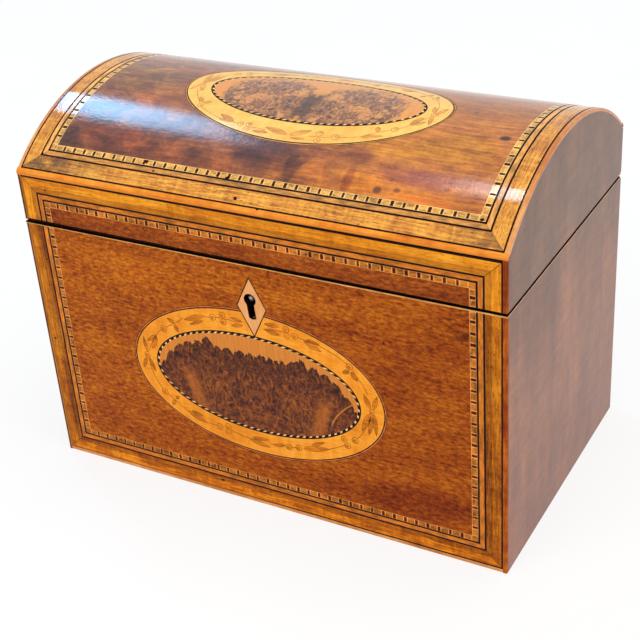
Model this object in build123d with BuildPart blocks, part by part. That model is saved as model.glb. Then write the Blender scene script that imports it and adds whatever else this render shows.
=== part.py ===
from build123d import *
from math import asin, cos, pi, sin, sqrt
import os

os.makedirs("parts", exist_ok=True)

# A tea caddy with a domed lid, in millimetres. X runs right, Y runs to the back and Z runs up.
# The origin is the middle of the underside of the base.

# Overall sizes
width = 190.0
depth = 112.0
body_height = 102.8
joint_gap = 0.9
lid_edge_height = 19.3
dome_rise = 21.6

# Carcass
veneer = 1.2
wall = 7.0
base_thickness = 6.0
stave_thickness = 5.5
stave_count = 7
dovetail_count = 4
dovetail_narrow = 13.0
dovetail_splay = 1.2
back_chamfer = 1.0

# Fittings of the two compartments
lining = 2.5
foil = 0.4
divider_thickness = 5.0
divider_housing = 1.2
inner_lid_thickness = 6.0
inner_lid_below_rim = 1.0
inner_lid_clearance = 0.4
inner_lid_edge_radius = 1.2
lid_paper = 0.5

# Turned knobs of the inner lids
knob_spigot_radius = 2.0
knob_spigot_length = 5.0
knob_foot_radius = 4.2
knob_foot_height = 0.8
knob_neck_radius = 1.8
knob_neck_height = 3.0
knob_ball_radius = 4.2
knob_ball_height = 8.0
knob_ball_facets = 8

# Banding of every decorated face, from its outer edge inwards
edge_string = 1.5
outer_line = 0.5
crossband = 5.6
middle_line = 0.5
light_line = 1.8
inner_line = 0.6
chequer = 2.3
rim_string = 0.7

# Oval panels: half their length and half their height or depth, to the outside of the border
front_oval_half_length = 52.4
front_oval_half_height = 30.5
front_oval_x = -1.0
front_oval_below_rim = 48.8
dome_oval_half_length = 52.2
dome_oval_half_depth = 27.3
dome_oval_x = 2.9
dome_oval_y = -4.9
oval_border = 10.5
rope_width = 1.0

# Keyhole and its lozenge
lozenge_width = 11.3
lozenge_height = 22.3
lozenge_x = 0.9
lozenge_below_rim = 16.7
keyhole_x = 0.5
keyhole_below_rim = 13.8
keyhole_radius = 2.4
keyhole_slot_width = 3.1
keyhole_slot_drop = 7.4

# Lock, let into the inner side of the front wall
lock_width = 32.0
lock_depth = 5.8
lock_height = 24.0
lock_sheet = 0.8
selvedge_length = 46.0
selvedge_thickness = 1.2
selvedge_screw_inset = 3.5
drill_pin_radius = 1.2
drill_pin_reach = 6.2
bolt_length = 18.0
bolt_height = 3.2
bolt_thickness = 1.2
bolt_drop = 1.0
bolt_travel = 4.5
bolt_stump_radius = 0.8
bolt_stump_clearance = 0.1
bolt_talon_width = 8.0
bolt_talon_depth = 3.6
bolt_talon_notch = 1.9
bolt_nose_gap = 0.8
spring_thickness = 0.3
spring_rise = 0.35
spring_length = 8.0
spring_foot = 1.2

# Link plate of the lid, whose eye takes the bolt
link_plate_length = 40.0
link_x_from_keyhole = 8.0
link_thickness = 1.8
link_width = 3.0
link_length = 8.0
link_eye_width = 1.8
link_eye_clearance = 0.5
link_slot_clearance = 0.6

# Butt hinges
hinge_from_end = 35.0
hinge_length = 25.0
hinge_leaf_width = 5.5
hinge_leaf_thickness = 1.2
hinge_axis_inset = 1.0
knuckle_count = 3
knuckle_radius = 1.6
knuckle_gap = 0.15
knuckle_room = 0.3
hinge_pin_radius = 0.75
hinge_pin_clearance = 0.05

# Countersunk wood screws
screw_radius = 0.9
screw_head_radius = 1.5
screw_length = 7.0
hinge_screw_spacing = 15.0
hinge_screw_from_edge = 2.1

# Levels and planes that follow from the sizes
half_width = width / 2
half_depth = depth / 2
carcass_x = half_width - veneer
carcass_y = half_depth - veneer
inside_x = carcass_x - wall
inside_y = carcass_y - wall
lined_x = inside_x - lining
lined_y = inside_y - lining
lid_bottom = body_height + joint_gap
spring_height = lid_bottom + lid_edge_height
crown = spring_height + dome_rise
veneer_top = body_height - rim_string
inner_lid_top = body_height - inner_lid_below_rim
lining_top = inner_lid_top - inner_lid_thickness

front_oval_z = body_height - front_oval_below_rim
lozenge_z = body_height - lozenge_below_rim
keyhole_z = body_height - keyhole_below_rim

# The dome is one arc from the front edge to the back edge
dome_radius = (half_depth**2 + dome_rise**2) / (2 * dome_rise)
dome_centre = crown - dome_radius
dome_arc = dome_radius * asin(half_depth / dome_radius)
stave_under = veneer + stave_thickness

# Where each band starts, measured inwards from the outer edge
outer_line_at = edge_string
crossband_at = outer_line_at + outer_line
middle_line_at = crossband_at + crossband
light_line_at = middle_line_at + middle_line
inner_line_at = light_line_at + light_line
chequer_at = inner_line_at + inner_line
field_at = chequer_at + chequer

# The hinge axis lies halfway between the rim and the lid
hinge_y = half_depth - hinge_axis_inset
hinge_z = body_height + joint_gap / 2
pocket_radius = knuckle_radius + knuckle_room
knuckle_pitch = hinge_length / knuckle_count
hinge_centres = (-(half_width - hinge_from_end), half_width - hinge_from_end)
hinge_screw_y = hinge_y - hinge_leaf_width + hinge_screw_from_edge

# Lock levels: its back plate is flush with the front wall's inner face
lock_back = -inside_y
lock_front = lock_back - lock_depth
lock_middle_y = (lock_back + lock_front) / 2
lock_bottom = body_height - lock_height
selvedge_under = body_height - selvedge_thickness
bolt_top = selvedge_under - bolt_drop
bolt_z = bolt_top - bolt_height / 2
link_x = keyhole_x + link_x_from_keyhole
bolt_nose = link_x - link_thickness / 2 - bolt_nose_gap
bolt_tail = bolt_nose - bolt_length
stump_x = keyhole_x - 2 * bolt_stump_radius
talon_x = keyhole_x - bolt_travel / 2
talon_bottom = bolt_top - bolt_height - bolt_talon_depth

front_face = Plane.XZ.offset(half_depth)


def block(x, y, z, mode=Mode.ADD):
    """A rectangular block between two limits along each axis."""
    with Locations(((x[0] + x[1]) / 2, (y[0] + y[1]) / 2, (z[0] + z[1]) / 2)):
        Box(x[1] - x[0], y[1] - y[0], z[1] - z[0], mode=mode)


def dome_point(along, below=0.0):
    """Y and Z at an arc length from the crown and a depth under the dome's surface."""
    angle = along / dome_radius
    radius = dome_radius - below
    return (radius * sin(angle), dome_centre + radius * cos(angle))


def arc_height(y, below):
    """Height at a given Y of the arc that lies this far under the dome's surface."""
    return dome_centre + sqrt((dome_radius - below) ** 2 - y**2)


def dome_slab(half_length, start, end, top, bottom, mode=Mode.ADD):
    """A curved slab between two arc lengths and two depths, centred along X."""
    middle = (start + end) / 2
    with BuildSketch(Plane.YZ) as section:
        with BuildLine():
            over = ThreePointArc(dome_point(start, top), dome_point(middle, top), dome_point(end, top))
            under = ThreePointArc(
                dome_point(start, bottom), dome_point(middle, bottom), dome_point(end, bottom)
            )
            Line(over @ 0, under @ 0)
            Line(over @ 1, under @ 1)
        make_face()
    extrude(section.sketch, amount=half_length, both=True, mode=mode)


def dome_panel(inset, mode=Mode.ADD):
    """The dome's veneer layer inside an equal inset from its four edges."""
    dome_slab(half_width - inset, inset - dome_arc, dome_arc - inset, 0, veneer, mode)


def dome_band(start, end):
    """One band round the dome's four edges."""
    dome_panel(start)
    dome_panel(end, Mode.SUBTRACT)


def under_dome(x, y, below):
    """The space from the lid's bottom edge up to an arc this far below the dome."""
    middle = (y[0] + y[1]) / 2
    with BuildSketch(Plane.YZ.offset(x[0])) as section:
        with BuildLine():
            top = ThreePointArc(
                (y[0], arc_height(y[0], below)),
                (middle, arc_height(middle, below)),
                (y[1], arc_height(y[1], below)),
            )
            Polyline(top @ 0, (y[0], lid_bottom), (y[1], lid_bottom), top @ 1)
        make_face()
    extrude(section.sketch, amount=x[1] - x[0])


def front_band(start, end, bottom, top, open_top):
    """A band round three edges of a front, open along the joint between box and lid."""
    with BuildSketch(front_face) as band:
        for inset, mode in ((start, Mode.ADD), (end, Mode.SUBTRACT)):
            low = bottom + inset if open_top else bottom
            high = top if open_top else top - inset
            with Locations((0, (low + high) / 2)):
                Rectangle(width - 2 * inset, high - low, mode=mode)
    extrude(band.sketch, amount=-veneer)


def box_front_band(start, end):
    """The left, bottom and right strips of one band on the box's front."""
    front_band(start, end, 0, veneer_top, open_top=True)


def lid_front_band(start, end):
    """The left, top and right strips of one band on the lid's front."""
    front_band(start, end, lid_bottom, spring_height, open_top=False)


def front_ellipse(inset, mode=Mode.ADD):
    """The front oval through the veneer, inside an inset from its border's outer edge."""
    with BuildSketch(front_face) as oval:
        with Locations((front_oval_x, front_oval_z)):
            Ellipse(front_oval_half_length - inset, front_oval_half_height - inset)
    extrude(oval.sketch, amount=-veneer, mode=mode)


def dome_ellipse(inset, mode):
    """The dome oval as an upright prism through the dome, inside an inset from its border's outer edge."""
    with BuildSketch(Plane.XY.offset(spring_height - veneer)) as oval:
        with Locations((dome_oval_x, dome_oval_y)):
            Ellipse(dome_oval_half_length - inset, dome_oval_half_depth - inset)
    extrude(oval.sketch, amount=dome_rise + 2 * veneer, mode=mode)


def lozenge(mode=Mode.ADD):
    """The lozenge round the keyhole, through the veneer."""
    with BuildSketch(front_face) as outline:
        with BuildLine():
            Polyline(
                (lozenge_x, lozenge_z + lozenge_height / 2),
                (lozenge_x + lozenge_width / 2, lozenge_z),
                (lozenge_x, lozenge_z - lozenge_height / 2),
                (lozenge_x - lozenge_width / 2, lozenge_z),
                close=True,
            )
        make_face()
    extrude(outline.sketch, amount=-veneer, mode=mode)


def keyhole(reach):
    """The keyhole, cut from the front face to a depth behind it."""
    with BuildSketch(front_face) as outline:
        with Locations((keyhole_x, keyhole_z)):
            Circle(keyhole_radius)
            Rectangle(keyhole_slot_width, keyhole_slot_drop, align=(Align.CENTER, Align.MAX))
    extrude(outline.sketch, amount=-reach, mode=Mode.SUBTRACT)


def dovetails(side, end, mode=Mode.ADD):
    """The row of tails at one end (front -1, back 1) of one side wall (left -1, right 1)."""
    pitch = (body_height - base_thickness) / dovetail_count
    start = min(side * inside_x, side * carcass_x)
    for index in range(dovetail_count):
        middle = base_thickness + (index + 0.5) * pitch
        narrow = dovetail_narrow / 2
        wide = narrow + dovetail_splay
        with BuildSketch(Plane.YZ.offset(start)) as tail:
            with BuildLine():
                Polyline(
                    (end * inside_y, middle - narrow),
                    (end * carcass_y, middle - wide),
                    (end * carcass_y, middle + wide),
                    (end * inside_y, middle + narrow),
                    close=True,
                )
            make_face()
        extrude(tail.sketch, amount=wall, mode=mode)


def back_notch(level, direction):
    """The small bevel along the back edge of the rim (direction -1) or of the lid (direction 1)."""
    with BuildSketch(Plane.YZ) as bevel:
        with BuildLine():
            Polyline(
                (half_depth, level),
                (half_depth - back_chamfer, level),
                (half_depth, level + direction * back_chamfer),
                close=True,
            )
        make_face()
    extrude(bevel.sketch, amount=half_width, both=True, mode=Mode.SUBTRACT)


def along_x(start, length, radius, mode):
    """A cylinder on the hinge axis, from a starting X."""
    with BuildSketch(Plane.YZ.offset(start)) as circle:
        with Locations((hinge_y, hinge_z)):
            Circle(radius)
    extrude(circle.sketch, amount=length, mode=mode)


def hinge_pockets():
    """Room round both hinge barrels."""
    for centre in hinge_centres:
        start = centre - hinge_length / 2 - knuckle_room
        along_x(start, hinge_length + 2 * knuckle_room, pocket_radius, Mode.SUBTRACT)


def leaf_recesses(bottom, top):
    """The shallow beds that take both hinge leaves."""
    for centre in hinge_centres:
        reach = (centre - hinge_length / 2, centre + hinge_length / 2)
        block(reach, (hinge_y - hinge_leaf_width, hinge_y), (bottom, top), Mode.SUBTRACT)


def hinge_screw_points(centre):
    """The two screw positions of one hinge leaf."""
    return [(centre + step * hinge_screw_spacing / 2, hinge_screw_y) for step in (-1, 1)]


def screw_holes(points, level, direction):
    """Screw holes in wood, sunk from a level downwards (-1) or upwards (1)."""
    for x, y in points:
        with Locations((x, y, level + direction * screw_length / 2)):
            Cylinder(screw_radius, screw_length, mode=Mode.SUBTRACT)


def countersinks(points, level, direction):
    """Countersunk screw holes in a plate whose outer face is at a level."""
    plane = Plane((0, 0, level), x_dir=(1, 0, 0), z_dir=(0, 0, -direction))
    places = [(x, -direction * y) for x, y in points]
    with Locations(plane):
        with Locations(*places):
            CounterSinkHole(screw_radius, screw_head_radius, counter_sink_angle=90)


def screws(points, level, direction):
    """Countersunk screws whose heads are flush with a level."""
    head = screw_head_radius - screw_radius
    for x, y in points:
        with BuildSketch(Plane((x, y, level), x_dir=(1, 0, 0), z_dir=(0, -direction, 0))) as half:
            with BuildLine():
                Polyline(
                    (0, 0),
                    (screw_head_radius, 0),
                    (screw_radius, head),
                    (screw_radius, screw_length),
                    (0, screw_length),
                    close=True,
                )
            make_face()
        revolve(half.sketch, axis=Axis((x, y, level), (0, 0, 1)))


def hinge_leaf(centre, bottom, top, own):
    """One leaf with its knuckles: own holds 0 for the box's outer knuckles and 1 for the lid's."""
    start = centre - hinge_length / 2
    reach = (start, start + hinge_length)
    block(reach, (hinge_y - hinge_leaf_width, hinge_y), (bottom, top))
    for index in range(knuckle_count):
        if index % 2 != own:
            room_start = start + index * knuckle_pitch - knuckle_gap / 2
            along_x(room_start, knuckle_pitch + knuckle_gap, pocket_radius, Mode.SUBTRACT)
    for index in range(own, knuckle_count, 2):
        knuckle_start = start + index * knuckle_pitch + knuckle_gap / 2
        along_x(knuckle_start, knuckle_pitch - knuckle_gap, knuckle_radius, Mode.ADD)
    bore = hinge_pin_radius + (hinge_pin_clearance if own else 0)
    along_x(start, hinge_length, bore, Mode.SUBTRACT)


# Base board and the four dovetailed walls

with BuildPart() as base_board:
    block((-carcass_x, carcass_x), (-carcass_y, carcass_y), (0, base_thickness))

selvedge_screws = [
    (keyhole_x + step * (selvedge_length / 2 - selvedge_screw_inset), lock_middle_y) for step in (-1, 1)
]

with BuildPart() as front_wall:
    block((-carcass_x, carcass_x), (-carcass_y, -inside_y), (base_thickness, body_height))
    dovetails(-1, -1, Mode.SUBTRACT)
    dovetails(1, -1, Mode.SUBTRACT)
    lock_reach = (keyhole_x - lock_width / 2, keyhole_x + lock_width / 2)
    selvedge_reach = (keyhole_x - selvedge_length / 2, keyhole_x + selvedge_length / 2)
    block(lock_reach, (lock_front, lock_back), (lock_bottom, body_height), Mode.SUBTRACT)
    block(selvedge_reach, (lock_front, lock_back), (selvedge_under, body_height), Mode.SUBTRACT)
    keyhole(veneer + wall)
    screw_holes(selvedge_screws, body_height, -1)

with BuildPart() as back_wall:
    block((-carcass_x, carcass_x), (inside_y, carcass_y), (base_thickness, body_height))
    dovetails(-1, 1, Mode.SUBTRACT)
    dovetails(1, 1, Mode.SUBTRACT)
    leaf_recesses(body_height - hinge_leaf_thickness, body_height)
    hinge_pockets()
    for hinge_x in hinge_centres:
        screw_holes(hinge_screw_points(hinge_x), body_height, -1)

with BuildPart() as left_wall:
    block((-carcass_x, -inside_x), (-inside_y, inside_y), (base_thickness, body_height))
    dovetails(-1, -1)
    dovetails(-1, 1)

with BuildPart() as right_wall:
    block((inside_x, carcass_x), (-inside_y, inside_y), (base_thickness, body_height))
    dovetails(1, -1)
    dovetails(1, 1)

# Veneers of the box: the front's field stops at the banding, the sides lap the back

with BuildPart() as front_veneer:
    with BuildSketch(front_face):
        with Locations((0, (field_at + veneer_top) / 2)):
            Rectangle(width - 2 * field_at, veneer_top - field_at)
    extrude(amount=-veneer)
    front_ellipse(0, Mode.SUBTRACT)
    lozenge(Mode.SUBTRACT)

with BuildPart() as back_veneer:
    block((-carcass_x, carcass_x), (carcass_y, half_depth), (0, body_height))
    back_notch(body_height, -1)
    leaf_recesses(body_height - hinge_leaf_thickness, body_height)
    hinge_pockets()

with BuildPart() as left_veneer:
    block((-half_width, -carcass_x), (-carcass_y, half_depth), (0, veneer_top))
    back_notch(body_height, -1)

with BuildPart() as right_veneer:
    block((carcass_x, half_width), (-carcass_y, half_depth), (0, veneer_top))
    back_notch(body_height, -1)

# Banding and inlay of the box's front, all in the veneer layer

with BuildPart() as box_edge_strings:
    box_front_band(0, outer_line_at)

with BuildPart() as rim_strings:
    block((-half_width, half_width), (-half_depth, -carcass_y), (veneer_top, body_height))
    block((-half_width, -carcass_x), (-carcass_y, half_depth), (veneer_top, body_height))
    block((carcass_x, half_width), (-carcass_y, half_depth), (veneer_top, body_height))
    back_notch(body_height, -1)

with BuildPart() as box_crossbanding:
    box_front_band(crossband_at, middle_line_at)

with BuildPart() as box_dark_lines:
    box_front_band(outer_line_at, crossband_at)
    box_front_band(middle_line_at, light_line_at)
    box_front_band(inner_line_at, chequer_at)

with BuildPart() as box_light_line:
    box_front_band(light_line_at, inner_line_at)

with BuildPart() as box_chequer_band:
    box_front_band(chequer_at, field_at)

with BuildPart() as front_oval_border:
    front_ellipse(0)
    front_ellipse(oval_border, Mode.SUBTRACT)
    lozenge(Mode.SUBTRACT)

with BuildPart() as front_rope_ring:
    front_ellipse(oval_border)
    front_ellipse(oval_border + rope_width, Mode.SUBTRACT)

with BuildPart() as front_burr_panel:
    front_ellipse(oval_border + rope_width)

with BuildPart() as keyhole_lozenge:
    lozenge()
    keyhole(veneer)

# Linings, divider and foil of the two compartments

lining_levels = (base_thickness, lining_top)
groove_x = (-divider_thickness / 2, divider_thickness / 2)

with BuildPart() as front_lining:
    block((-inside_x, inside_x), (-inside_y, -lined_y), lining_levels)
    block(groove_x, (-lined_y - divider_housing, -lined_y), lining_levels, Mode.SUBTRACT)

with BuildPart() as back_lining:
    block((-inside_x, inside_x), (lined_y, inside_y), lining_levels)
    block(groove_x, (lined_y, lined_y + divider_housing), lining_levels, Mode.SUBTRACT)

with BuildPart() as end_linings:
    block((-inside_x, -lined_x), (-lined_y, lined_y), lining_levels)
    block((lined_x, inside_x), (-lined_y, lined_y), lining_levels)

with BuildPart() as divider:
    block(groove_x, (-lined_y - divider_housing, lined_y + divider_housing), lining_levels)

with BuildPart() as foil_linings:
    for side in (-1, 1):
        near = side * divider_thickness / 2
        far = side * lined_x
        across = (min(near, far), max(near, far))
        block(across, (-lined_y, lined_y), lining_levels)
        hollow_x = (across[0] + foil, across[1] - foil)
        hollow_z = (base_thickness + foil, lining_top)
        block(hollow_x, (foil - lined_y, lined_y - foil), hollow_z, Mode.SUBTRACT)

# Lock: the case with its selvedge, the cap with the keyhole, the drill pin and the sliding bolt

case_x = (keyhole_x - lock_width / 2, keyhole_x + lock_width / 2)
works_x = (case_x[0] + lock_sheet, case_x[1] - lock_sheet)
works_z = (lock_bottom + lock_sheet, selvedge_under)
cavity_y = (lock_front + lock_sheet, lock_back - lock_sheet)
slot_x = (
    link_x - link_thickness / 2 - link_slot_clearance,
    link_x + link_thickness / 2 + link_slot_clearance,
)

with BuildPart() as lock_case:
    block(case_x, (lock_front, lock_back), (lock_bottom, selvedge_under))
    block(selvedge_reach, (lock_front, lock_back), (selvedge_under, body_height))
    block(works_x, (lock_front, cavity_y[1]), works_z, Mode.SUBTRACT)
    block(slot_x, cavity_y, (selvedge_under, body_height), Mode.SUBTRACT)
    countersinks(selvedge_screws, body_height, -1)
    with BuildSketch(Plane.XZ.offset(-lock_back)):
        with Locations((keyhole_x, keyhole_z)):
            Circle(drill_pin_radius)
    extrude(amount=lock_sheet, mode=Mode.SUBTRACT)
    with BuildSketch(Plane.XZ.offset(-cavity_y[1])):
        with Locations((stump_x, bolt_z)):
            Circle(bolt_stump_radius)
    extrude(amount=cavity_y[1] - cavity_y[0])

with BuildPart() as lock_cap:
    block(works_x, (lock_front, cavity_y[0]), works_z)
    keyhole(half_depth)

with BuildPart() as lock_pin:
    with BuildSketch(Plane.XZ.offset(-lock_back)):
        with Locations((keyhole_x, keyhole_z)):
            Circle(drill_pin_radius)
    extrude(amount=lock_sheet + drill_pin_reach)

with BuildPart() as lock_bolt:
    with BuildSketch(Plane.XZ.offset(-lock_middle_y)):
        with BuildLine():
            Polyline(
                (bolt_tail, bolt_top),
                (bolt_nose, bolt_top),
                (bolt_nose, bolt_top - bolt_height),
                (talon_x + bolt_talon_width / 2, bolt_top - bolt_height),
                (talon_x + bolt_talon_width / 2, talon_bottom),
                (talon_x - bolt_talon_width / 2, talon_bottom),
                (talon_x - bolt_talon_width / 2, bolt_top - bolt_height),
                (bolt_tail, bolt_top - bolt_height),
                close=True,
            )
        make_face()
        with Locations((talon_x, talon_bottom)):
            Circle(bolt_talon_notch, mode=Mode.SUBTRACT)
        with Locations((stump_x - bolt_travel / 2, bolt_z)):
            slot_height = 2 * (bolt_stump_radius + bolt_stump_clearance)
            SlotCenterToCenter(bolt_travel, slot_height, mode=Mode.SUBTRACT)
    extrude(amount=bolt_thickness / 2, both=True)

with BuildPart() as bolt_spring:
    foot_start = bolt_tail + spring_foot
    spring_end = bolt_tail + spring_length
    foot_end = spring_end - spring_foot
    bow_middle = bolt_tail + spring_length / 2
    over = bolt_top + spring_thickness
    with BuildSketch(Plane.XZ.offset(-lock_middle_y)):
        with BuildLine():
            Polyline((foot_start, bolt_top), (bolt_tail, bolt_top), (bolt_tail, over), (foot_start, over))
            ThreePointArc((foot_start, over), (bow_middle, over + spring_rise), (foot_end, over))
            Polyline((foot_end, over), (spring_end, over), (spring_end, bolt_top), (foot_end, bolt_top))
            ThreePointArc((foot_end, bolt_top), (bow_middle, bolt_top + spring_rise), (foot_start, bolt_top))
        make_face()
    extrude(amount=bolt_thickness / 2, both=True)

# Carcass of the lid: two rails, two gables and the coopered dome over them

link_plate_screws = [
    (keyhole_x + step * (link_plate_length / 2 - selvedge_screw_inset), lock_middle_y) for step in (-1, 1)
]
link_plate_reach = (keyhole_x - link_plate_length / 2, keyhole_x + link_plate_length / 2)

with BuildPart() as lid_front_rail:
    under_dome((-carcass_x, carcass_x), (-carcass_y, -inside_y), stave_under)
    link_levels = (lid_bottom, lid_bottom + selvedge_thickness)
    block(link_plate_reach, (lock_front, lock_back), link_levels, Mode.SUBTRACT)
    screw_holes(link_plate_screws, lid_bottom, 1)

with BuildPart() as lid_back_rail:
    under_dome((-carcass_x, carcass_x), (inside_y, carcass_y), stave_under)
    leaf_recesses(lid_bottom, lid_bottom + hinge_leaf_thickness)
    hinge_pockets()
    for hinge_x in hinge_centres:
        screw_holes(hinge_screw_points(hinge_x), lid_bottom, 1)

with BuildPart() as left_gable:
    under_dome((-carcass_x, -inside_x), (-inside_y, inside_y), stave_under)

with BuildPart() as right_gable:
    under_dome((inside_x, carcass_x), (-inside_y, inside_y), stave_under)

dome_stave_list = []
stave_arc = 2 * dome_arc / stave_count
for stave_index in range(stave_count):
    stave_start = stave_index * stave_arc - dome_arc
    stave_end = stave_start + stave_arc
    if stave_index == 0:
        stave_start -= stave_under
    if stave_index == stave_count - 1:
        stave_end += stave_under
    with BuildPart() as stave:
        dome_slab(carcass_x, stave_start, stave_end, veneer, stave_under)
        block((-carcass_x, carcass_x), (-carcass_y, carcass_y), (lid_bottom, crown), Mode.INTERSECT)
    stave.part.label = f"stave_{stave_index + 1}"
    dome_stave_list.append(stave.part)

with BuildPart() as lid_lining:
    dome_slab(inside_x, -dome_arc, dome_arc, stave_under, stave_under + lid_paper)
    block((-inside_x, inside_x), (-inside_y, inside_y), (lid_bottom, crown), Mode.INTERSECT)

# Veneers of the lid

with BuildPart() as dome_veneer:
    dome_panel(field_at)
    dome_ellipse(0, Mode.SUBTRACT)

with BuildPart() as lid_front_veneer:
    with BuildSketch(front_face):
        with Locations((0, (lid_bottom + spring_height - field_at) / 2)):
            Rectangle(width - 2 * field_at, lid_edge_height - field_at)
    extrude(amount=-veneer)

with BuildPart() as lid_back_veneer:
    block((-carcass_x, carcass_x), (carcass_y, half_depth), (lid_bottom, spring_height - edge_string))
    back_notch(lid_bottom, 1)
    leaf_recesses(lid_bottom, lid_bottom + hinge_leaf_thickness)
    hinge_pockets()

with BuildPart() as lid_left_veneer:
    under_dome((-half_width, -carcass_x), (-carcass_y, carcass_y), veneer)
    block((-half_width, -carcass_x), (carcass_y, half_depth), (lid_bottom, spring_height - edge_string))
    back_notch(lid_bottom, 1)

with BuildPart() as lid_right_veneer:
    under_dome((carcass_x, half_width), (-carcass_y, carcass_y), veneer)
    block((carcass_x, half_width), (carcass_y, half_depth), (lid_bottom, spring_height - edge_string))
    back_notch(lid_bottom, 1)

# Banding and inlay of the lid

with BuildPart() as lid_edge_strings:
    dome_band(0, outer_line_at)
    lid_front_band(0, outer_line_at)
    for end in (-1, 1):
        with BuildSketch(Plane.YZ) as arris:
            with BuildLine():
                Polyline(
                    (end * half_depth, spring_height),
                    (end * half_depth, spring_height - edge_string),
                    (end * carcass_y, spring_height - edge_string),
                    (end * carcass_y, arc_height(carcass_y, veneer)),
                    close=True,
                )
            make_face()
        extrude(arris.sketch, amount=half_width, both=True)

with BuildPart() as lid_crossbanding:
    lid_front_band(crossband_at, middle_line_at)
    dome_band(crossband_at, middle_line_at)

with BuildPart() as lid_dark_lines:
    for start, end in (
        (outer_line_at, crossband_at),
        (middle_line_at, light_line_at),
        (inner_line_at, chequer_at),
    ):
        lid_front_band(start, end)
        dome_band(start, end)

with BuildPart() as lid_light_line:
    lid_front_band(light_line_at, inner_line_at)
    dome_band(light_line_at, inner_line_at)

with BuildPart() as lid_chequer_band:
    lid_front_band(chequer_at, field_at)
    dome_band(chequer_at, field_at)

with BuildPart() as dome_oval_border:
    dome_panel(field_at)
    dome_ellipse(0, Mode.INTERSECT)
    dome_ellipse(oval_border, Mode.SUBTRACT)

with BuildPart() as dome_rope_ring:
    dome_panel(field_at)
    dome_ellipse(oval_border, Mode.INTERSECT)
    dome_ellipse(oval_border + rope_width, Mode.SUBTRACT)

with BuildPart() as dome_burr_panel:
    dome_panel(field_at)
    dome_ellipse(oval_border + rope_width, Mode.INTERSECT)

# Link plate of the lid: the link hangs through the selvedge, its eye open along X

with BuildPart() as link_plate:
    block(link_plate_reach, (lock_front, lock_back), link_levels)
    link_across = (link_x - link_thickness / 2, link_x + link_thickness / 2)
    link_deep = (lock_middle_y - link_width / 2, lock_middle_y + link_width / 2)
    block(link_across, link_deep, (lid_bottom - link_length, lid_bottom))
    eye_deep = (lock_middle_y - link_eye_width / 2, lock_middle_y + link_eye_width / 2)
    eye_levels = (bolt_top - bolt_height - link_eye_clearance, bolt_top + link_eye_clearance)
    block(link_across, eye_deep, eye_levels, Mode.SUBTRACT)
    countersinks(link_plate_screws, lid_bottom, 1)

# Hinges: leaves let into the rim and the lid, a pin through each barrel, and all the screws

hinge_leaves = {}
for hinge_side, hinge_x in zip(("left", "right"), hinge_centres):
    with BuildPart() as box_leaf:
        hinge_leaf(hinge_x, body_height - hinge_leaf_thickness, body_height, own=0)
        countersinks(hinge_screw_points(hinge_x), body_height, -1)
    with BuildPart() as lid_leaf:
        hinge_leaf(hinge_x, lid_bottom, lid_bottom + hinge_leaf_thickness, own=1)
        countersinks(hinge_screw_points(hinge_x), lid_bottom, 1)
    hinge_leaves[f"{hinge_side}_hinge_box_leaf"] = box_leaf.part
    hinge_leaves[f"{hinge_side}_hinge_lid_leaf"] = lid_leaf.part

with BuildPart() as hinge_pins:
    for hinge_x in hinge_centres:
        along_x(hinge_x - hinge_length / 2, hinge_length, hinge_pin_radius, Mode.ADD)

with BuildPart() as box_screws:
    screws(selvedge_screws, body_height, -1)
    for hinge_x in hinge_centres:
        screws(hinge_screw_points(hinge_x), body_height, -1)

with BuildPart() as lid_screws:
    screws(link_plate_screws, lid_bottom, 1)
    for hinge_x in hinge_centres:
        screws(hinge_screw_points(hinge_x), lid_bottom, 1)

# Inner lids, loose on the linings, and their turned knobs

inner_lid_length = inside_x - 1.5 * inner_lid_clearance
inner_lid_middle = inner_lid_clearance / 2 + inner_lid_length / 2
knob_ball_start = asin(knob_neck_radius / knob_ball_radius)
knob_ball_steps = [
    knob_ball_start + (pi - knob_ball_start) * step / knob_ball_facets for step in range(knob_ball_facets)
]
knob_ball = [
    (knob_ball_radius * sin(angle), knob_ball_height - knob_ball_radius * cos(angle))
    for angle in knob_ball_steps
]
inner_lids = {}
for lid_side, middle_x in (("left", -inner_lid_middle), ("right", inner_lid_middle)):
    with BuildPart() as inner_lid:
        reach_x = (middle_x - inner_lid_length / 2, middle_x + inner_lid_length / 2)
        reach_y = inside_y - inner_lid_clearance
        block(reach_x, (-reach_y, reach_y), (lining_top, inner_lid_top))
        fillet(inner_lid.faces().sort_by(Axis.Z)[-1].edges(), inner_lid_edge_radius)
        with Locations((middle_x, 0, inner_lid_top)):
            Hole(knob_spigot_radius, depth=knob_spigot_length)
    with BuildPart() as knob:
        knob_plane = Plane((middle_x, 0, inner_lid_top), x_dir=(1, 0, 0), z_dir=(0, -1, 0))
        with BuildSketch(knob_plane):
            with BuildLine():
                Polyline(
                    (0, -knob_spigot_length),
                    (knob_spigot_radius, -knob_spigot_length),
                    (knob_spigot_radius, 0),
                    (knob_foot_radius, 0),
                    (knob_foot_radius, knob_foot_height),
                    (knob_neck_radius, knob_neck_height),
                    *knob_ball,
                    (0, knob_ball_height + knob_ball_radius),
                    close=True,
                )
            make_face()
        revolve(axis=Axis((middle_x, 0, inner_lid_top), (0, 0, 1)))
    inner_lids[f"{lid_side}_inner_lid"] = inner_lid.part
    inner_lids[f"{lid_side}_knob"] = knob.part

# Every piece, one file each

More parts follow.
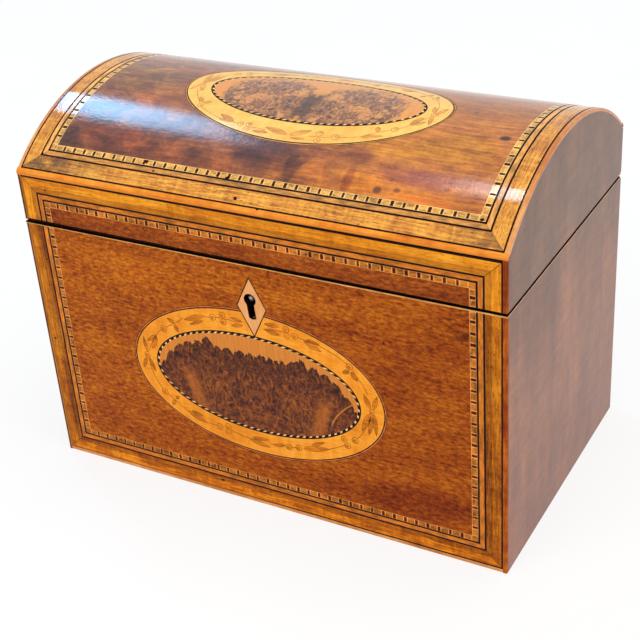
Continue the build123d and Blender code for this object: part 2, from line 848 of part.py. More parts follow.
pieces = {
    "base_board": base_board.part,
    "front_wall": front_wall.part,
    "back_wall": back_wall.part,
    "left_wall": left_wall.part,
    "right_wall": right_wall.part,
    "front_veneer": front_veneer.part,
    "back_veneer": back_veneer.part,
    "left_veneer": left_veneer.part,
    "right_veneer": right_veneer.part,
    "box_edge_strings": box_edge_strings.part,
    "rim_strings": rim_strings.part,
    "box_crossbanding": box_crossbanding.part,
    "box_dark_lines": box_dark_lines.part,
    "box_light_line": box_light_line.part,
    "box_chequer_band": box_chequer_band.part,
    "front_oval_border": front_oval_border.part,
    "front_rope_ring": front_rope_ring.part,
    "front_burr_panel": front_burr_panel.part,
    "keyhole_lozenge": keyhole_lozenge.part,
    "front_lining": front_lining.part,
    "back_lining": back_lining.part,
    "end_linings": end_linings.part,
    "divider": divider.part,
    "foil_linings": foil_linings.part,
    "lock_case": lock_case.part,
    "lock_cap": lock_cap.part,
    "lock_pin": lock_pin.part,
    "lock_bolt": lock_bolt.part,
    "bolt_spring": bolt_spring.part,
    "hinge_pins": hinge_pins.part,
    "box_screws": box_screws.part,
    "lid_front_rail": lid_front_rail.part,
    "lid_back_rail": lid_back_rail.part,
    "left_gable": left_gable.part,
    "right_gable": right_gable.part,
    "dome_staves": Compound(children=dome_stave_list),
    "lid_lining": lid_lining.part,
    "dome_veneer": dome_veneer.part,
    "lid_front_veneer": lid_front_veneer.part,
    "lid_back_veneer": lid_back_veneer.part,
    "lid_left_veneer": lid_left_veneer.part,
    "lid_right_veneer": lid_right_veneer.part,
    "lid_edge_strings": lid_edge_strings.part,
    "lid_crossbanding": lid_crossbanding.part,
    "lid_dark_lines": lid_dark_lines.part,
    "lid_light_line": lid_light_line.part,
    "lid_chequer_band": lid_chequer_band.part,
    "dome_oval_border": dome_oval_border.part,
    "dome_rope_ring": dome_rope_ring.part,
    "dome_burr_panel": dome_burr_panel.part,
    "link_plate": link_plate.part,
    "lid_screws": lid_screws.part,
    **hinge_leaves,
    **inner_lids,
}

for piece_name, piece in pieces.items():
    piece.label = piece_name
    export_step(piece, f"parts/{piece_name}.step")
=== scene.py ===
import math
import random
import bmesh
import bpy
from mathutils import Matrix, Vector
from mathutils.geometry import delaunay_2d_cdt


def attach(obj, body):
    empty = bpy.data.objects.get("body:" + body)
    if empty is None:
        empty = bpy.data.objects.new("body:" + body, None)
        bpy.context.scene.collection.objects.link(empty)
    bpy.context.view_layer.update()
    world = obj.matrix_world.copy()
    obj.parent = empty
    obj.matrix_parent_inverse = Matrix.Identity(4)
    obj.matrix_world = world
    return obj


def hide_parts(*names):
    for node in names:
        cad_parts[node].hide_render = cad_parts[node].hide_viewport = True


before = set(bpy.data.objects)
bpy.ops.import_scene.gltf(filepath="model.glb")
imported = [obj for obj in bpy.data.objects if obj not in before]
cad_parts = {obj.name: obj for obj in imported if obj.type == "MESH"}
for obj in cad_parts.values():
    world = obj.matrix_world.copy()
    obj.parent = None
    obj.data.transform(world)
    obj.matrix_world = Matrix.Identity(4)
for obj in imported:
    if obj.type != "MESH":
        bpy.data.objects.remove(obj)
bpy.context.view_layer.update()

# A tea caddy with a domed lid. Sizes are in millimetres, and MM turns them into metres.
MM = 0.001
rand = random.Random(7)

# Sizes of the box, as in the part
half_width = 95.0
half_depth = 56.0
body_height = 102.8
lid_bottom = 103.7
spring_height = 123.0
dome_rise = 21.6
veneer = 1.2
edge_string = 1.5
rim_string = 0.7
veneer_top = body_height - rim_string
carcass_y = half_depth - veneer
inner_lid_top = 101.8
dome_radius = (half_depth**2 + dome_rise**2) / (2 * dome_rise)
dome_centre = spring_height + dome_rise - dome_radius
dome_arc = dome_radius * math.asin(half_depth / dome_radius)

# The visual surface lies this far under the veneer's, to stay inside the CAD box
sink = 0.02

# Thickness and height of what lies on the veneer, such as ink and spots
film = 0.02
film_lift = 0.012

# Where each band starts, measured inwards from the outer edge
band_start = {"outer": 1.45, "cross": 2.1, "middle": 7.5, "light": 8.2, "inner": 9.85, "chequer": 10.55, "field": 12.8}
box_rect = (-half_width, 0.0, half_width, veneer_top)
lid_rect = (-half_width, lid_bottom, half_width, spring_height)
dome_rect = (-half_width, -dome_arc, half_width, dome_arc)

# Ovals: centre, half length and half height of the border's outer edge, then insets of the rings inside it
front_oval = (-1.0, 54.0, 52.4, 30.5)
dome_oval = (2.9, -4.9, 52.2, 27.3)
# The outermost ring, dark, is painted shade: the shadow in the fine gap round the oval; the pale and dark rings inside
# it are lines
outline_and_shade_rings = (0.0, 0.2, 0.6, 1.05)
border_inner = 9.9
rope_start = 10.45
panel_start = 11.15

# Lozenge and keyhole
lozenge_centre = (0.9, 86.1)
lozenge_half = (5.65, 11.15)
lozenge_line = 0.45
keyhole_centre = (0.5, 89.0)
keyhole_radius = 2.4
keyhole_slot_half = 1.5
keyhole_drop = 7.3
keyhole_slant = 0.5


# Surfaces: each takes two coordinates on the face and a depth under it, and has a normal

def front(u, v, d=0.0):
    """The flat front: X and Z."""
    return (u, d + sink - half_depth, v)


def dome(u, v, d=0.0):
    """The dome: X and the arc length from the crown, positive to the back."""
    angle = v / dome_radius
    radius = dome_radius - d - sink
    return (u, radius * math.sin(angle), dome_centre + radius * math.cos(angle))


def dome_normal(u, v):
    angle = v / dome_radius
    return (0.0, math.sin(angle), math.cos(angle))


FRONT = (front, lambda u, v: (0.0, -1.0, 0.0))
DOME = (dome, dome_normal)


def up_to_arc(y):
    """The dome's arc length at a depth Y."""
    return dome_radius * math.asin(y / dome_radius)


def circle(count, radius=1.0):
    return [(radius * math.cos(t), radius * math.sin(t)) for t in (2 * math.pi * k / count for k in range(count))]


# Materials

def calculate(operation):
    """A method that joins a Value with others in a math node."""
    return lambda value, *others: value.shader.math(operation, value, *others)


class Value:
    """A number that changes over a surface."""

    __add__ = __radd__ = calculate("ADD")
    __mul__ = __rmul__ = calculate("MULTIPLY")
    __sub__ = calculate("SUBTRACT")
    __truediv__ = calculate("DIVIDE")
    __pow__ = calculate("POWER")
    __abs__ = calculate("ABSOLUTE")
    at_least = calculate("MAXIMUM")
    sine = calculate("SINE")
    exponent = calculate("EXPONENT")

    def __init__(self, shader, socket):
        self.shader, self.socket = shader, socket

    def swing(self, size):
        """The value about its middle of 0.5, scaled."""
        return (self - 0.5) * size

    def spread(self, low, high, to_low=0.0, to_high=1.0, smooth=False):
        """The value mapped from one range to another, and held at its ends."""
        kind = "SMOOTHSTEP" if smooth else "LINEAR"
        inputs = (self, low, high, to_low, to_high)
        return self.shader.value("ShaderNodeMapRange", inputs, interpolation_type=kind)


class Shader:
    """A material or world whose nodes are made by short calls."""

    def __init__(self, name, kind="materials"):
        self.data = getattr(bpy.data, kind).new(name)
        self.data.use_nodes = True
        self.tree = self.data.node_tree
        self.tree.nodes.clear()

    def add(self, kind, inputs=(), **settings):
        """A node with its first inputs fed."""
        node = self.tree.nodes.new(kind)
        for key, value in settings.items():
            setattr(node, key, value)
        for socket, value in zip(node.inputs, inputs):
            self.feed(socket, value)
        return node

    def value(self, kind, inputs=(), **settings):
        return Value(self, self.add(kind, inputs, **settings).outputs[0])

    def feed(self, socket, value):
        if isinstance(value, Value):
            value = value.socket
        if isinstance(value, bpy.types.NodeSocket):
            self.tree.links.new(value, socket)
        elif socket.type == "RGBA":
            socket.default_value = (*value, 1.0)
        else:
            socket.default_value = value

    def math(self, operation, *values, clamp=False):
        return self.value("ShaderNodeMath", values, operation=operation, use_clamp=clamp)

    def mix(self, factor, a, b, blend="MIX"):
        node = self.add("ShaderNodeMix", data_type="RGBA", blend_type=blend)
        for number, value in ((0, factor), (6, a), (7, b)):
            self.feed(node.inputs[number], value)
        return node.outputs[2]

    def tint(self, amount, colour, factors):
        """The colour multiplied by the factors, as far as the amount says."""
        return self.mix(amount, colour, factors, "MULTIPLY")

    def scale(self, vector, factors, offset=(0, 0, 0)):
        return self.add("ShaderNodeVectorMath", (vector, factors, offset), operation="MULTIPLY_ADD").outputs[0]

    def length(self, vector):
        return Value(self, self.add("ShaderNodeVectorMath", (vector,), operation="LENGTH").outputs["Value"])

    def noise_node(self, vector, along, across, detail, rough=0.5, distort=0.0, offset=(0, 0, 0)):
        node = self.add("ShaderNodeTexNoise")
        inputs = {"Vector": self.scale(vector, (along, across, across), offset), "Scale": 1.0, "Detail": detail,
                  "Roughness": rough, "Distortion": distort}
        for key, value in inputs.items():
            self.feed(node.inputs[key], value)
        return node

    def noise(self, vector, along, across=None, detail=3.0, **settings):
        """Noise with so many waves to the millimetre along the grain and across it."""
        node = self.noise_node(vector, along, along if across is None else across, detail, **settings)
        return Value(self, node.outputs[0])

    def warp(self, vector, along, across, reach, offset=(0, 0, 0)):
        """The vector pushed about by noise."""
        push = self.scale(self.noise_node(vector, along, across, 4.0).outputs["Color"], reach, offset)
        return self.add("ShaderNodeVectorMath", (push, vector), operation="ADD").outputs[0]

    def ramp(self, factor, stops):
        node = self.add("ShaderNodeValToRGB", (factor,))
        elements = node.color_ramp.elements
        while len(elements) < len(stops):
            elements.new(0.5)
        for element, (place, colour) in zip(elements, stops):
            element.position = place
            element.color = (*colour, 1.0)
        return node.outputs[0]

    def split(self, vector):
        return [Value(self, part) for part in self.add("ShaderNodeSeparateXYZ", (vector,)).outputs]

    def join(self, x, y, z=0.0):
        return self.add("ShaderNodeCombineXYZ", (x, y, z)).outputs[0]

    def place(self, order="XYZ"):
        """The place in millimetres, its axes in the given order. For "grain", the piece's own map along the grain."""
        if order == "grain":
            return self.add("ShaderNodeUVMap", uv_map="grain").outputs[0]
        parts = self.split(self.scale(self.add("ShaderNodeTexCoord").outputs["Object"], (1 / MM,) * 3))
        return self.join(*(parts["XYZ".index(axis)] for axis in order))

    def bump(self, height, relief):
        """A normal from a height, its relief in millimetres."""
        node = self.add("ShaderNodeBump")
        for key, value in {"Strength": 1.0, "Distance": relief * MM, "Height": height}.items():
            self.feed(node.inputs[key], value)
        return node.outputs[0]

    def output(self, surface, kind="Material"):
        node = self.add(f"ShaderNodeOutput{kind}")
        self.feed(node.inputs["Surface"], surface)
        return self.data

    def finish(self, colour, rough, height, relief, **sockets):
        """The surface itself: colour, roughness, relief in millimetres, and more values by socket name."""
        surface = self.add("ShaderNodeBsdfPrincipled")
        sockets |= {"Base Color": colour, "Roughness": rough, "Normal": self.bump(height, relief)}
        for key, value in sockets.items():
            self.feed(surface.inputs[key.replace("_", " ")], value)
        return self.output(surface.outputs[0])

    def seen(self):
        """1 for rays that show the surface itself: from the camera, in gloss or through glass."""
        path = self.add("ShaderNodeLightPath").outputs
        rays = self.math("ADD", path["Is Camera Ray"], path["Is Glossy Ray"])
        return self.math("ADD", rays, path["Is Transmission Ray"], clamp=True)


def times(colour, factor):
    return tuple(factor * c for c in colour)


POLISH = {"Coat_Weight": 0.7, "Coat_Roughness": 0.12, "Specular_IOR_Level": 0.12}
THIN_POLISH = {"Coat_Weight": 0.08, "Coat_Roughness": 0.16, "Specular_IOR_Level": 0.05}
SIDE_POLISH = {"Coat_Weight": 0.5, "Coat_Roughness": 0.2, "Specular_IOR_Level": 0.1}
DEEP_POLISH = {"Coat_Weight": 0.9, "Coat_Roughness": 0.11, "Specular_IOR_Level": 0.1}
BAND_POLISH = {"Coat_Weight": 0.95, "Coat_Roughness": 0.07, "Specular_IOR_Level": 0.1}


def wood(name, dark, middle, light, vector="grain", fibre=0.5, figure=0.35, ripple=0.2, pores=0.35, speck=0.0,
         fibre_size=(0.14, 2.2), ripple_size=(0.35, 0.09), rough=(0.34, 0.5), wave=0.0, extra=None, polish=POLISH):
    """A veneer: fine fibres, broad figure, cross ripple, specks and pores along the grain."""
    s = Shader(f"{name}_wood")
    at = s.place(vector)
    along, across, deep = s.split(at)
    flow = s.join(along, across + s.noise(at, 0.02, 0.05, 1.0) * 5.0, deep)
    fibres = s.noise(flow, *fibre_size, detail=4.0, rough=0.62)
    broad = s.noise(flow, 0.03, 0.11, rough=0.55, offset=(5, 3, 1))
    cross = s.noise(flow, *ripple_size, detail=2.0, distort=0.4, offset=(9, 7, 2))
    pore = s.noise(flow, 0.4, 2.4, 2.0, offset=(3, 9, 4))
    tone = 0.5 + fibres.swing(fibre) + broad.swing(2 * figure) + cross.swing(2 * ripple)
    if speck:
        tone += s.noise(at, 0.75, 1.15, 2.0, rough=0.6, offset=(1, 5, 8)).swing(speck)
    colour = s.ramp(tone, ((0.22, dark), (0.5, middle), (0.78, light)))
    pit = pore.spread(0.6, 0.7, 0.0, pores)
    colour = s.mix(pit, colour, times(dark, 0.35))
    if extra:
        colour = extra(s, at, colour)
    if wave:
        polish = dict(polish, Coat_Normal=s.bump(s.noise(at, 0.55, 0.8, rough=0.6), wave))
    return s.finish(colour, fibres.spread(0.3, 0.7, *rough), fibres - pit * 0.8, 0.012, **polish)


def inlay(name, colour, spread=0.4, vector="grain", size=(0.3, 1.5), rough=0.42, polish=THIN_POLISH, extra=None):
    """A small plain inlay: one wood with faint fibres and patches."""
    s = Shader(name)
    at = s.place(vector)
    fibres = s.noise(at, *size, detail=4.0, rough=0.6)
    tone = fibres + s.noise(at, 0.12, 0.3, 2.0, offset=(4, 2, 6)).swing(0.9)
    high = tuple(min(1.0, c) for c in times(colour, 1 + spread))
    shade = s.ramp(tone, ((0.3, times(colour, 1 - spread)), (0.7, high)))
    if extra:
        shade = extra(s, at, shade)
    return s.finish(shade, fibres.spread(0.3, 0.7, rough - 0.06, rough + 0.08), fibres, 0.008, **polish)


def patches(s, at, colour, places):
    """Soft patches with wandering edges: each has a middle, half sizes along and across, and a tint."""
    shifted = s.warp(at, 0.16, 0.22, (7.0, 5.0, 0.0), (-3.5, -2.5, 0.0))
    for u, v, wide, high, tint in places:
        vector = shifted if wide > 3 else at
        far = s.length(s.scale(vector, (1 / wide, 1 / high, 0.0), (-u / wide, -v / high, 0.0)))
        colour = s.tint(far.spread(1.1, 0.45, smooth=True), colour, tint)
    return colour


# Two patches are partly painted reflection: the greener, greyer one upper left, at (-70, -6), and the dark one in the
# low left corner, at (-81, -45)
dome_patches = (
    (70, 12, 42, 26, (0.78, 0.72, 0.5)), (-70, -6, 24, 15, (0.92, 1.16, 0.95)), (-81, -45, 8, 7, (0.5, 0.55, 0.85)),
    (-58.8, -20.7, 7, 4, (1.5, 1.4, 1.0)), (-60, 3, 9, 5, (1.3, 1.25, 1.0)), (-69.8, -40.9, 7, 4, (1.5, 1.4, 1.0)),
    (-52.6, -41, 8, 6, (1.5, 1.4, 1.0)), (-36, -44, 7, 5, (1.3, 1.25, 1.0)), (-16, -46, 9, 4, (1.3, 1.2, 0.9)),
    (1, -39, 12, 9, (0.5, 0.42, 0.75)), (12.5, -43, 3.4, 9, (0.42, 0.36, 0.6)), (21, -40, 6, 6, (1.12, 1.05, 0.8)),
    (34, -33.5, 7, 4.5, (0.58, 0.48, 0.6)), (34, -43.5, 2.2, 7, (0.7, 0.5, 0.5)),
    (57, -38.5, 17, 4.5, (0.8, 0.66, 0.9)), (48, -27, 18, 6, (1.1, 1.22, 0.45)), (40, -44, 7, 6, (1.15, 1.15, 0.45)),
    (66, -23, 15, 9, (1.03, 1.16, 0.55)), (62, -48, 14, 4, (1.08, 0.92, 0.7)),
    (77.9, -15.1, 2.4, 1.7, (0.1, 0.09, 0.12)), (45.5, -45.8, 1.9, 1.7, (0.25, 0.22, 0.3)),
    (52.1, -44.9, 1.5, 1.1, (0.45, 0.4, 0.4)), (68.3, -41.8, 1.5, 0.9, (0.6, 0.5, 0.5)),
)
front_patches = (
    (80, 92, 3.4, 1.8, (0.42, 0.32, 0.4)), (62, 20, 24, 12, (0.82, 0.7, 0.8)), (50, 70, 26, 16, (0.9, 0.84, 0.9)),
    (-72, 24, 10, 8, (0.88, 0.8, 0.9)), (-40, 90, 30, 6, (1.05, 1.04, 1.0)),
)


def dome_field_tones(s, at, colour):
    """The dome's field: redder and darker to the left, darker still low down on the left partly as a painted dark
    reflection, cloudy below the oval, warm to the right.
    """
    x, arc, _ = s.split(at)
    place = x + s.noise(at, 0.03, 0.05, 2.0).swing(60.0)
    left = place.spread(-15.0, 38.0, 1.0, 0.0, smooth=True)
    colour = s.tint(left, colour, (0.54, 0.47, 1.15))
    # Darker low down on the left, below the window's highlight: partly wood tone, partly a painted dark reflection
    foot = arc.spread(-29.0, -41.0, smooth=True) * place.spread(-62.0, -12.0, 1.0, 0.0, smooth=True)
    colour = s.tint(foot, colour, (0.6, 0.5, 0.66))
    blotch = s.noise(at, 0.085, 0.12, 6.0, rough=0.7, distort=0.8, offset=(3, 1, 0))
    dark = blotch.spread(0.49, 0.6, 0.0, 0.8) * place.spread(-10.0, 45.0, 1.0, 0.3)
    colour = s.tint(dark, colour, (0.42, 0.4, 0.6))
    colour = s.tint(blotch.spread(0.46, 0.34, 0.0, 0.9) * left, colour, (1.62, 1.95, 1.2))
    cloud = s.noise(at, 0.07, 0.028, 5.0, rough=0.62, distort=0.7, offset=(2, 4, 0)).spread(0.46, 0.62, smooth=True)
    near = x.spread(-55.0, -10.0, 0.2, 1.0, smooth=True) * x.spread(18.0, 42.0, 0.5, 0.1, smooth=True)
    colour = s.tint(cloud * near * arc.spread(-14.0, -28.0, 0.1, 1.0, smooth=True), colour, (0.28, 0.22, 0.42))
    flare = arc.spread(-34.0, -44.0, 0.0, 0.8, smooth=True) * x.spread(5.0, 25.0)
    return patches(s, at, s.tint(flare, colour, (1.1, 1.03, 0.7)), dome_patches)


def front_field_tones(s, at, colour):
    """The front's field: cloudy darker patches to the right and near the bottom."""
    x, z, _ = s.split(at)
    cloud = s.noise(at, 0.025, 0.05, rough=0.6, offset=(1, 8, 0)).spread(0.35, 0.7, 0.4, 1.3)
    where = x.spread(-20.0, 75.0, 0.0, 0.55, smooth=True) + z.spread(40.0, 12.0, 0.0, 0.4, smooth=True)
    streak = s.noise(at, 0.11, 0.012, offset=(4, 1, 0)).spread(0.58, 0.72, 0.0, 0.45)
    return patches(s, at, s.tint((where * cloud).at_least(streak), colour, (0.66, 0.5, 0.5)), front_patches)


def inner_strip(s, at, colour):
    """The crossbanding's darker inner strip, with a thin line along it."""
    edge = s.split(at)[1] + s.noise(at, 0.05, 0.0, 2.0).swing(1.6)
    line = abs(edge - 5.55).spread(0.05, 0.22, 0.85, 0.0)
    return s.tint(edge.spread(5.4, 5.8, 0.0, 0.55).at_least(line), colour, (0.45, 0.38, 0.5))


def crossband_tones(s, at, colour):
    """The crossbanding's inner strip, its dull bloom, and its brighter strip along the foot of the box."""
    stain = s.noise(at, 0.05, 0.35, 4.0, rough=0.65).spread(0.47, 0.66, 0.0, 0.6)
    colour = s.tint(stain, inner_strip(s, at, colour), (0.58, 0.6, 0.8))
    return s.tint(s.split(at)[0].spread(95.0, 97.0, 1.0, 0.0), colour, (1.36, 1.32, 1.0))


def lid_crossband_tones(s, at, colour):
    """The lid front's crossbanding: an inner strip and a little bloom."""
    stain = s.noise(at, 0.03, 0.3, 4.0, rough=0.65).spread(0.5, 0.68, 0.0, 0.5)
    return s.tint(stain, inner_strip(s, at, colour), (0.62, 0.66, 0.9))


def dome_crossband_tones(s, at, colour):
    """The dome's crossbanding: dark streaks, and grime in its front corners."""
    along = s.split(at)[0]
    streak = s.noise(at, 0.1, 0.9, 4.0, rough=0.6, offset=(6, 3, 0)).spread(0.54, 0.66, 0.0, 0.6)
    colour = s.tint(streak, colour, (0.6, 0.47, 0.36))
    cloud = s.noise(at, 0.16, 0.35, 5.0, rough=0.72, offset=(4, 2, 0)).spread(0.34, 0.56, 0.1, 1.0)
    left = along.spread(-52.0, -80.0) * along.spread(-120.0, -97.0)
    right = along.spread(72.0, 88.0, 0.0, 0.7) * along.spread(97.0, 120.0, 1.0, 0.0)
    return s.mix((left + right) * cloud * 0.85, colour, (0.075, 0.034, 0.014))


def dome_light_tones(s, at, colour):
    """The dome's light line: paler along its arcs."""
    colour = s.tint(1.0, colour, (0.9, 0.96, 0.95))
    return s.tint(s.split(at)[0].spread(120.0, 145.0), colour, (1.45, 1.5, 1.6))


def arc_string_tones(s, at, colour):
    """The strings along the dome's arcs: palest low down at the front, where light falls on them."""
    return s.tint(s.split(at)[0].spread(-46.0, -26.0), colour, (0.84, 0.68, 0.45))


def worn_string_tones(s, at, colour):
    """The string on the left: like the crossbanding on its face, black with use at the corner."""
    return s.mix(s.split(at)[1].spread(0.4, 0.62, 0.0, 0.9, smooth=True), colour, (0.045, 0.018, 0.004))


def worn_line_tones(s, at, colour):
    """The outer dark line: worn away up the left side and along the left of the foot."""
    along = s.split(at)[0]
    worn = along.spread(-25.0, 25.0, 0.9, 0.0).at_least(along.spread(330.0, 400.0))
    return s.mix(worn, colour, s.ramp(s.noise(at, 0.3, 1.5), ((0.3, (0.26, 0.07, 0.006)), (0.7, (0.48, 0.145, 0.012)))))


def side_tones(s, at, colour):
    """Broad soft bands up the sides, and a duller upper part."""
    up = s.split(at)[0]
    band = s.noise(at, 0.006, 0.06, 5.0, rough=0.65, offset=(7, 2, 0)).spread(0.3, 0.7, 0.0, 0.8)
    colour = s.tint(1.0, s.tint(band, colour, (0.62, 0.57, 0.6)), (1.16, 1.15, 1.12))
    colour = s.tint(up.spread(55.0, 5.0, smooth=True), colour, (0.9, 0.7, 0.52))
    return s.tint(up.spread(62.0, 118.0, 0.0, 0.8, smooth=True), colour, (0.55, 0.7, 0.85))


def burr(name, sap, dark, middle, light, glow, contour, make_mask, polish):
    """A burr panel, mirrored about its middle, against paler sapwood."""
    s = Shader(name)
    at = s.place("grain")
    x, y, _ = s.split(at)
    mirrored = abs(x)
    folded = s.join(mirrored + s.noise(at, 0.08, detail=2.0) * 1.8, y)
    curled = s.warp(folded, 0.35, 0.35, (4.0, 4.0, 0.0))
    lump = s.noise(folded, 0.12, 0.22, 7.0, rough=0.7, distort=1.5)
    hair = s.noise(curled, 0.9, 0.34, 6.0, rough=0.72, offset=(3, 5, 0))
    tone = 0.5 + lump.swing(0.75) + hair.swing(1.2)
    body = s.ramp(tone, ((0.34, dark), (0.5, middle), (0.68, light)))
    swirl = (s.noise(curled, 0.1, 0.13, offset=(1, 9, 0)) * 26.0).sine()
    sap_line = s.noise(at, 2.4, 0.09, rough=0.6)
    sapwood = s.ramp(sap_line, ((0.3, times(sap, 0.8)), (0.55, sap), (0.8, times(sap, 1.1))))
    mask, rim, flame = make_mask(s, at, curled, mirrored, y)
    body = s.mix(flame, body, s.mix(0.25, glow, body))
    body = s.mix(abs(swirl).spread(0.05, 0.35, contour, 0.0), body, dark)
    body = s.mix(rim, body, times(dark, 0.7))
    return s.finish(s.mix(mask, sapwood, body), lump.spread(0.3, 0.7, 0.36, 0.5), tone, 0.012, **polish)


def front_burr_mask(s, at, curled, mirrored, y):
    """Where the front panel is burr: a crown of tree-like heads below the sapwood, with paler fans low down."""
    x = s.split(at)[0]
    fall = (mirrored - 23.5).at_least(0.0)**2.0
    clump = (mirrored - 19.0) / 2.6
    sway = s.noise(at, 0.25, 0.12, rough=0.6)
    heads = abs((sway * 5.0 + x * 0.72).sine())**0.6
    twigs = s.noise(curled, 0.9, 0.45, 5.0, rough=0.75)
    level = fall * -0.046 + (clump * clump * -1.0).exponent() * 2.6 + heads * 2.4 + twigs.swing(4.0) + 10.7
    inside = level - y
    columns = s.noise(s.join(x, y * 0.16), 1.2, 1.0, 4.0, rough=0.6, offset=(5, 1, 0))
    rim = inside.spread(0.5, 8.5, 1.0, 0.0) * columns.spread(0.38, 0.58, 0.12, 1.0) * 0.92
    fan = mirrored - (y * 0.32 + 29.0)
    rays = s.noise(s.join(fan, y * 0.1), 1.3, 1.0, 4.0, rough=0.65).spread(0.32, 0.5, 0.1, 1.0)
    flame = abs(fan).spread(0.8, 4.2, 1.0, 0.0, smooth=True) * y.spread(4.0, -5.0, smooth=True) * rays
    climb = (y + 9.5).at_least(0.0)
    branch = abs(x - (climb * (climb * 0.045 + 0.3) + 30.5))
    branch = branch.spread(0.1, 0.5, 1.0, 0.0) * y.spread(-11.0, -8.0)
    return inside.spread(-0.1, 0.3) * (branch * -0.85 + 1.0), rim, flame


def dome_burr_mask(s, at, curled, mirrored, y):
    """Where the dome panel is burr: two rounded lobes that meet below the middle."""
    dx, dy = (mirrored - 18.0) / 17.0, (y + 1.0) / 14.5
    foot = y.spread(4.0, -6.0, 0.0, 1.1, smooth=True) * mirrored.spread(22.0, 36.0, 1.0, 0.0)
    inside = foot + 1.0 - (dx * dx + dy * dy) + s.noise(curled, 0.5, detail=5.0, rough=0.72).swing(2.0)
    rim = mirrored.spread(6.0, 1.0, 0.0, 0.8, smooth=True) * y.spread(8.0, 2.0)
    holes = s.noise(curled, 0.13, detail=4.0, rough=0.65, offset=(6, 6, 0))
    return inside.spread(-0.1, 0.3), rim, holes.spread(0.54, 0.6, 0.0, 0.85)


def metal(name, base, tarnish, rough=(0.22, 0.42)):
    """Old metal with brushed lines and tarnish in patches."""
    s = Shader(name)
    at = s.place()
    brushed = s.noise(at, 0.25, 5.0)
    patch = s.noise(at, 0.22, detail=5.0, rough=0.65)
    colour = s.mix(brushed.spread(0.35, 0.65, 0.0, 0.3), base, times(base, 0.6))
    colour = s.mix(patch.spread(0.45, 0.7, 0.0, 0.8), colour, tarnish)
    return s.finish(colour, patch.spread(0.35, 0.7, *rough), brushed, 0.01, Metallic=1.0)


def pin_painted_highlight():
    """The lock's drill pin: a painted highlight on its flat end, brightest a little up and to the left of its middle,
    fading to painted shade round the edge.
    """
    s = Shader("pin_steel")
    at = s.place()
    # The painted highlight's middle lies a little up and to the left of the keyhole's centre
    far = s.length(s.scale(at, (1.0, 0.0, 1.0), (0.25 - keyhole_centre[0], 0.0, -0.15 - keyhole_centre[1])))
    scratch = s.noise(at, 2.0)
    ring = far.spread(0.0, 1.3) + scratch.swing(0.3)
    colour = s.ramp(ring, ((0.1, (0.62, 0.63, 0.64)), (0.5, (0.15, 0.145, 0.14)), (0.85, (0.02, 0.018, 0.016))))
    return s.finish(colour, scratch.spread(0.3, 0.7, 0.3, 0.45), scratch, 0.02, Metallic=1.0)


def foil_finish():
    """Tea foil: dull lead with creases."""
    s = Shader("tea_foil")
    at = s.place()
    crease = s.noise(at, 0.16, detail=6.0, rough=0.7, distort=1.5)
    patch = s.noise(at, 0.08, detail=4.0, offset=(3, 3, 3))
    colour = s.ramp(patch, ((0.3, (0.2, 0.2, 0.2)), (0.55, (0.36, 0.36, 0.355)), (0.8, (0.5, 0.5, 0.49))))
    height = abs((crease * 26.0).sine()) * 0.35 + crease
    return s.finish(colour, patch.spread(0.3, 0.7, 0.34, 0.55), height, 0.5, Metallic=1.0)


def paper_finish():
    """Old paper: fibres, foxing and a warm stain."""
    s = Shader("lid_paper")
    at = s.place()
    fibres = s.noise(at, 1.8, detail=5.0, rough=0.7)
    spots = s.noise(at, 0.35, detail=2.0, offset=(8, 2, 5))
    colour = s.ramp(s.noise(at, 0.03, detail=4.0, rough=0.6),
                    ((0.3, (0.47, 0.36, 0.22)), (0.55, (0.6, 0.5, 0.34)), (0.8, (0.68, 0.6, 0.45))))
    colour = s.mix(spots.spread(0.66, 0.74, 0.0, 0.5), colour, (0.28, 0.15, 0.06))
    colour = s.mix(fibres.spread(0.4, 0.65, 0.0, 0.18), colour, (0.42, 0.32, 0.2))
    return s.finish(colour, fibres.spread(0.3, 0.7, 0.8, 0.95), fibres, 0.06, Specular_IOR_Level=0.2)


def shade_and_dirt_finish():
    """Near black: painted shade in gaps and joints, and dirt."""
    s = Shader("joint_dirt")
    dust = s.noise(s.place(), 1.5)
    colour = s.ramp(dust, ((0.3, (0.002, 0.0015, 0.001)), (0.8, (0.014, 0.009, 0.006))))
    return s.finish(colour, dust.spread(0.3, 0.7, 0.8, 0.95), dust, 0.02, Specular_IOR_Level=0.0)


# What the woods share: strings, the front's fields, sides, oval borders and the unpolished carcass
THIN = {"polish": THIN_POLISH}
STRING = dict(THIN, fibre=0.8, figure=0.6, pores=0.4)
FIELD = dict(THIN, fibre=0.6, fibre_size=(0.2, 1.2), ripple_size=(0.4, 0.85))
SIDE = dict(figure=0.3, fibre=0.6, fibre_size=(0.03, 0.8), extra=side_tones, polish=SIDE_POLISH)
BORDER = dict(fibre=0.75, ripple=0.25, pores=0.2)
CARCASS = dict(fibre=0.7, fibre_size=(0.04, 0.9), pores=0.6, rough=(0.5, 0.7), polish={"Specular_IOR_Level": 0.25})

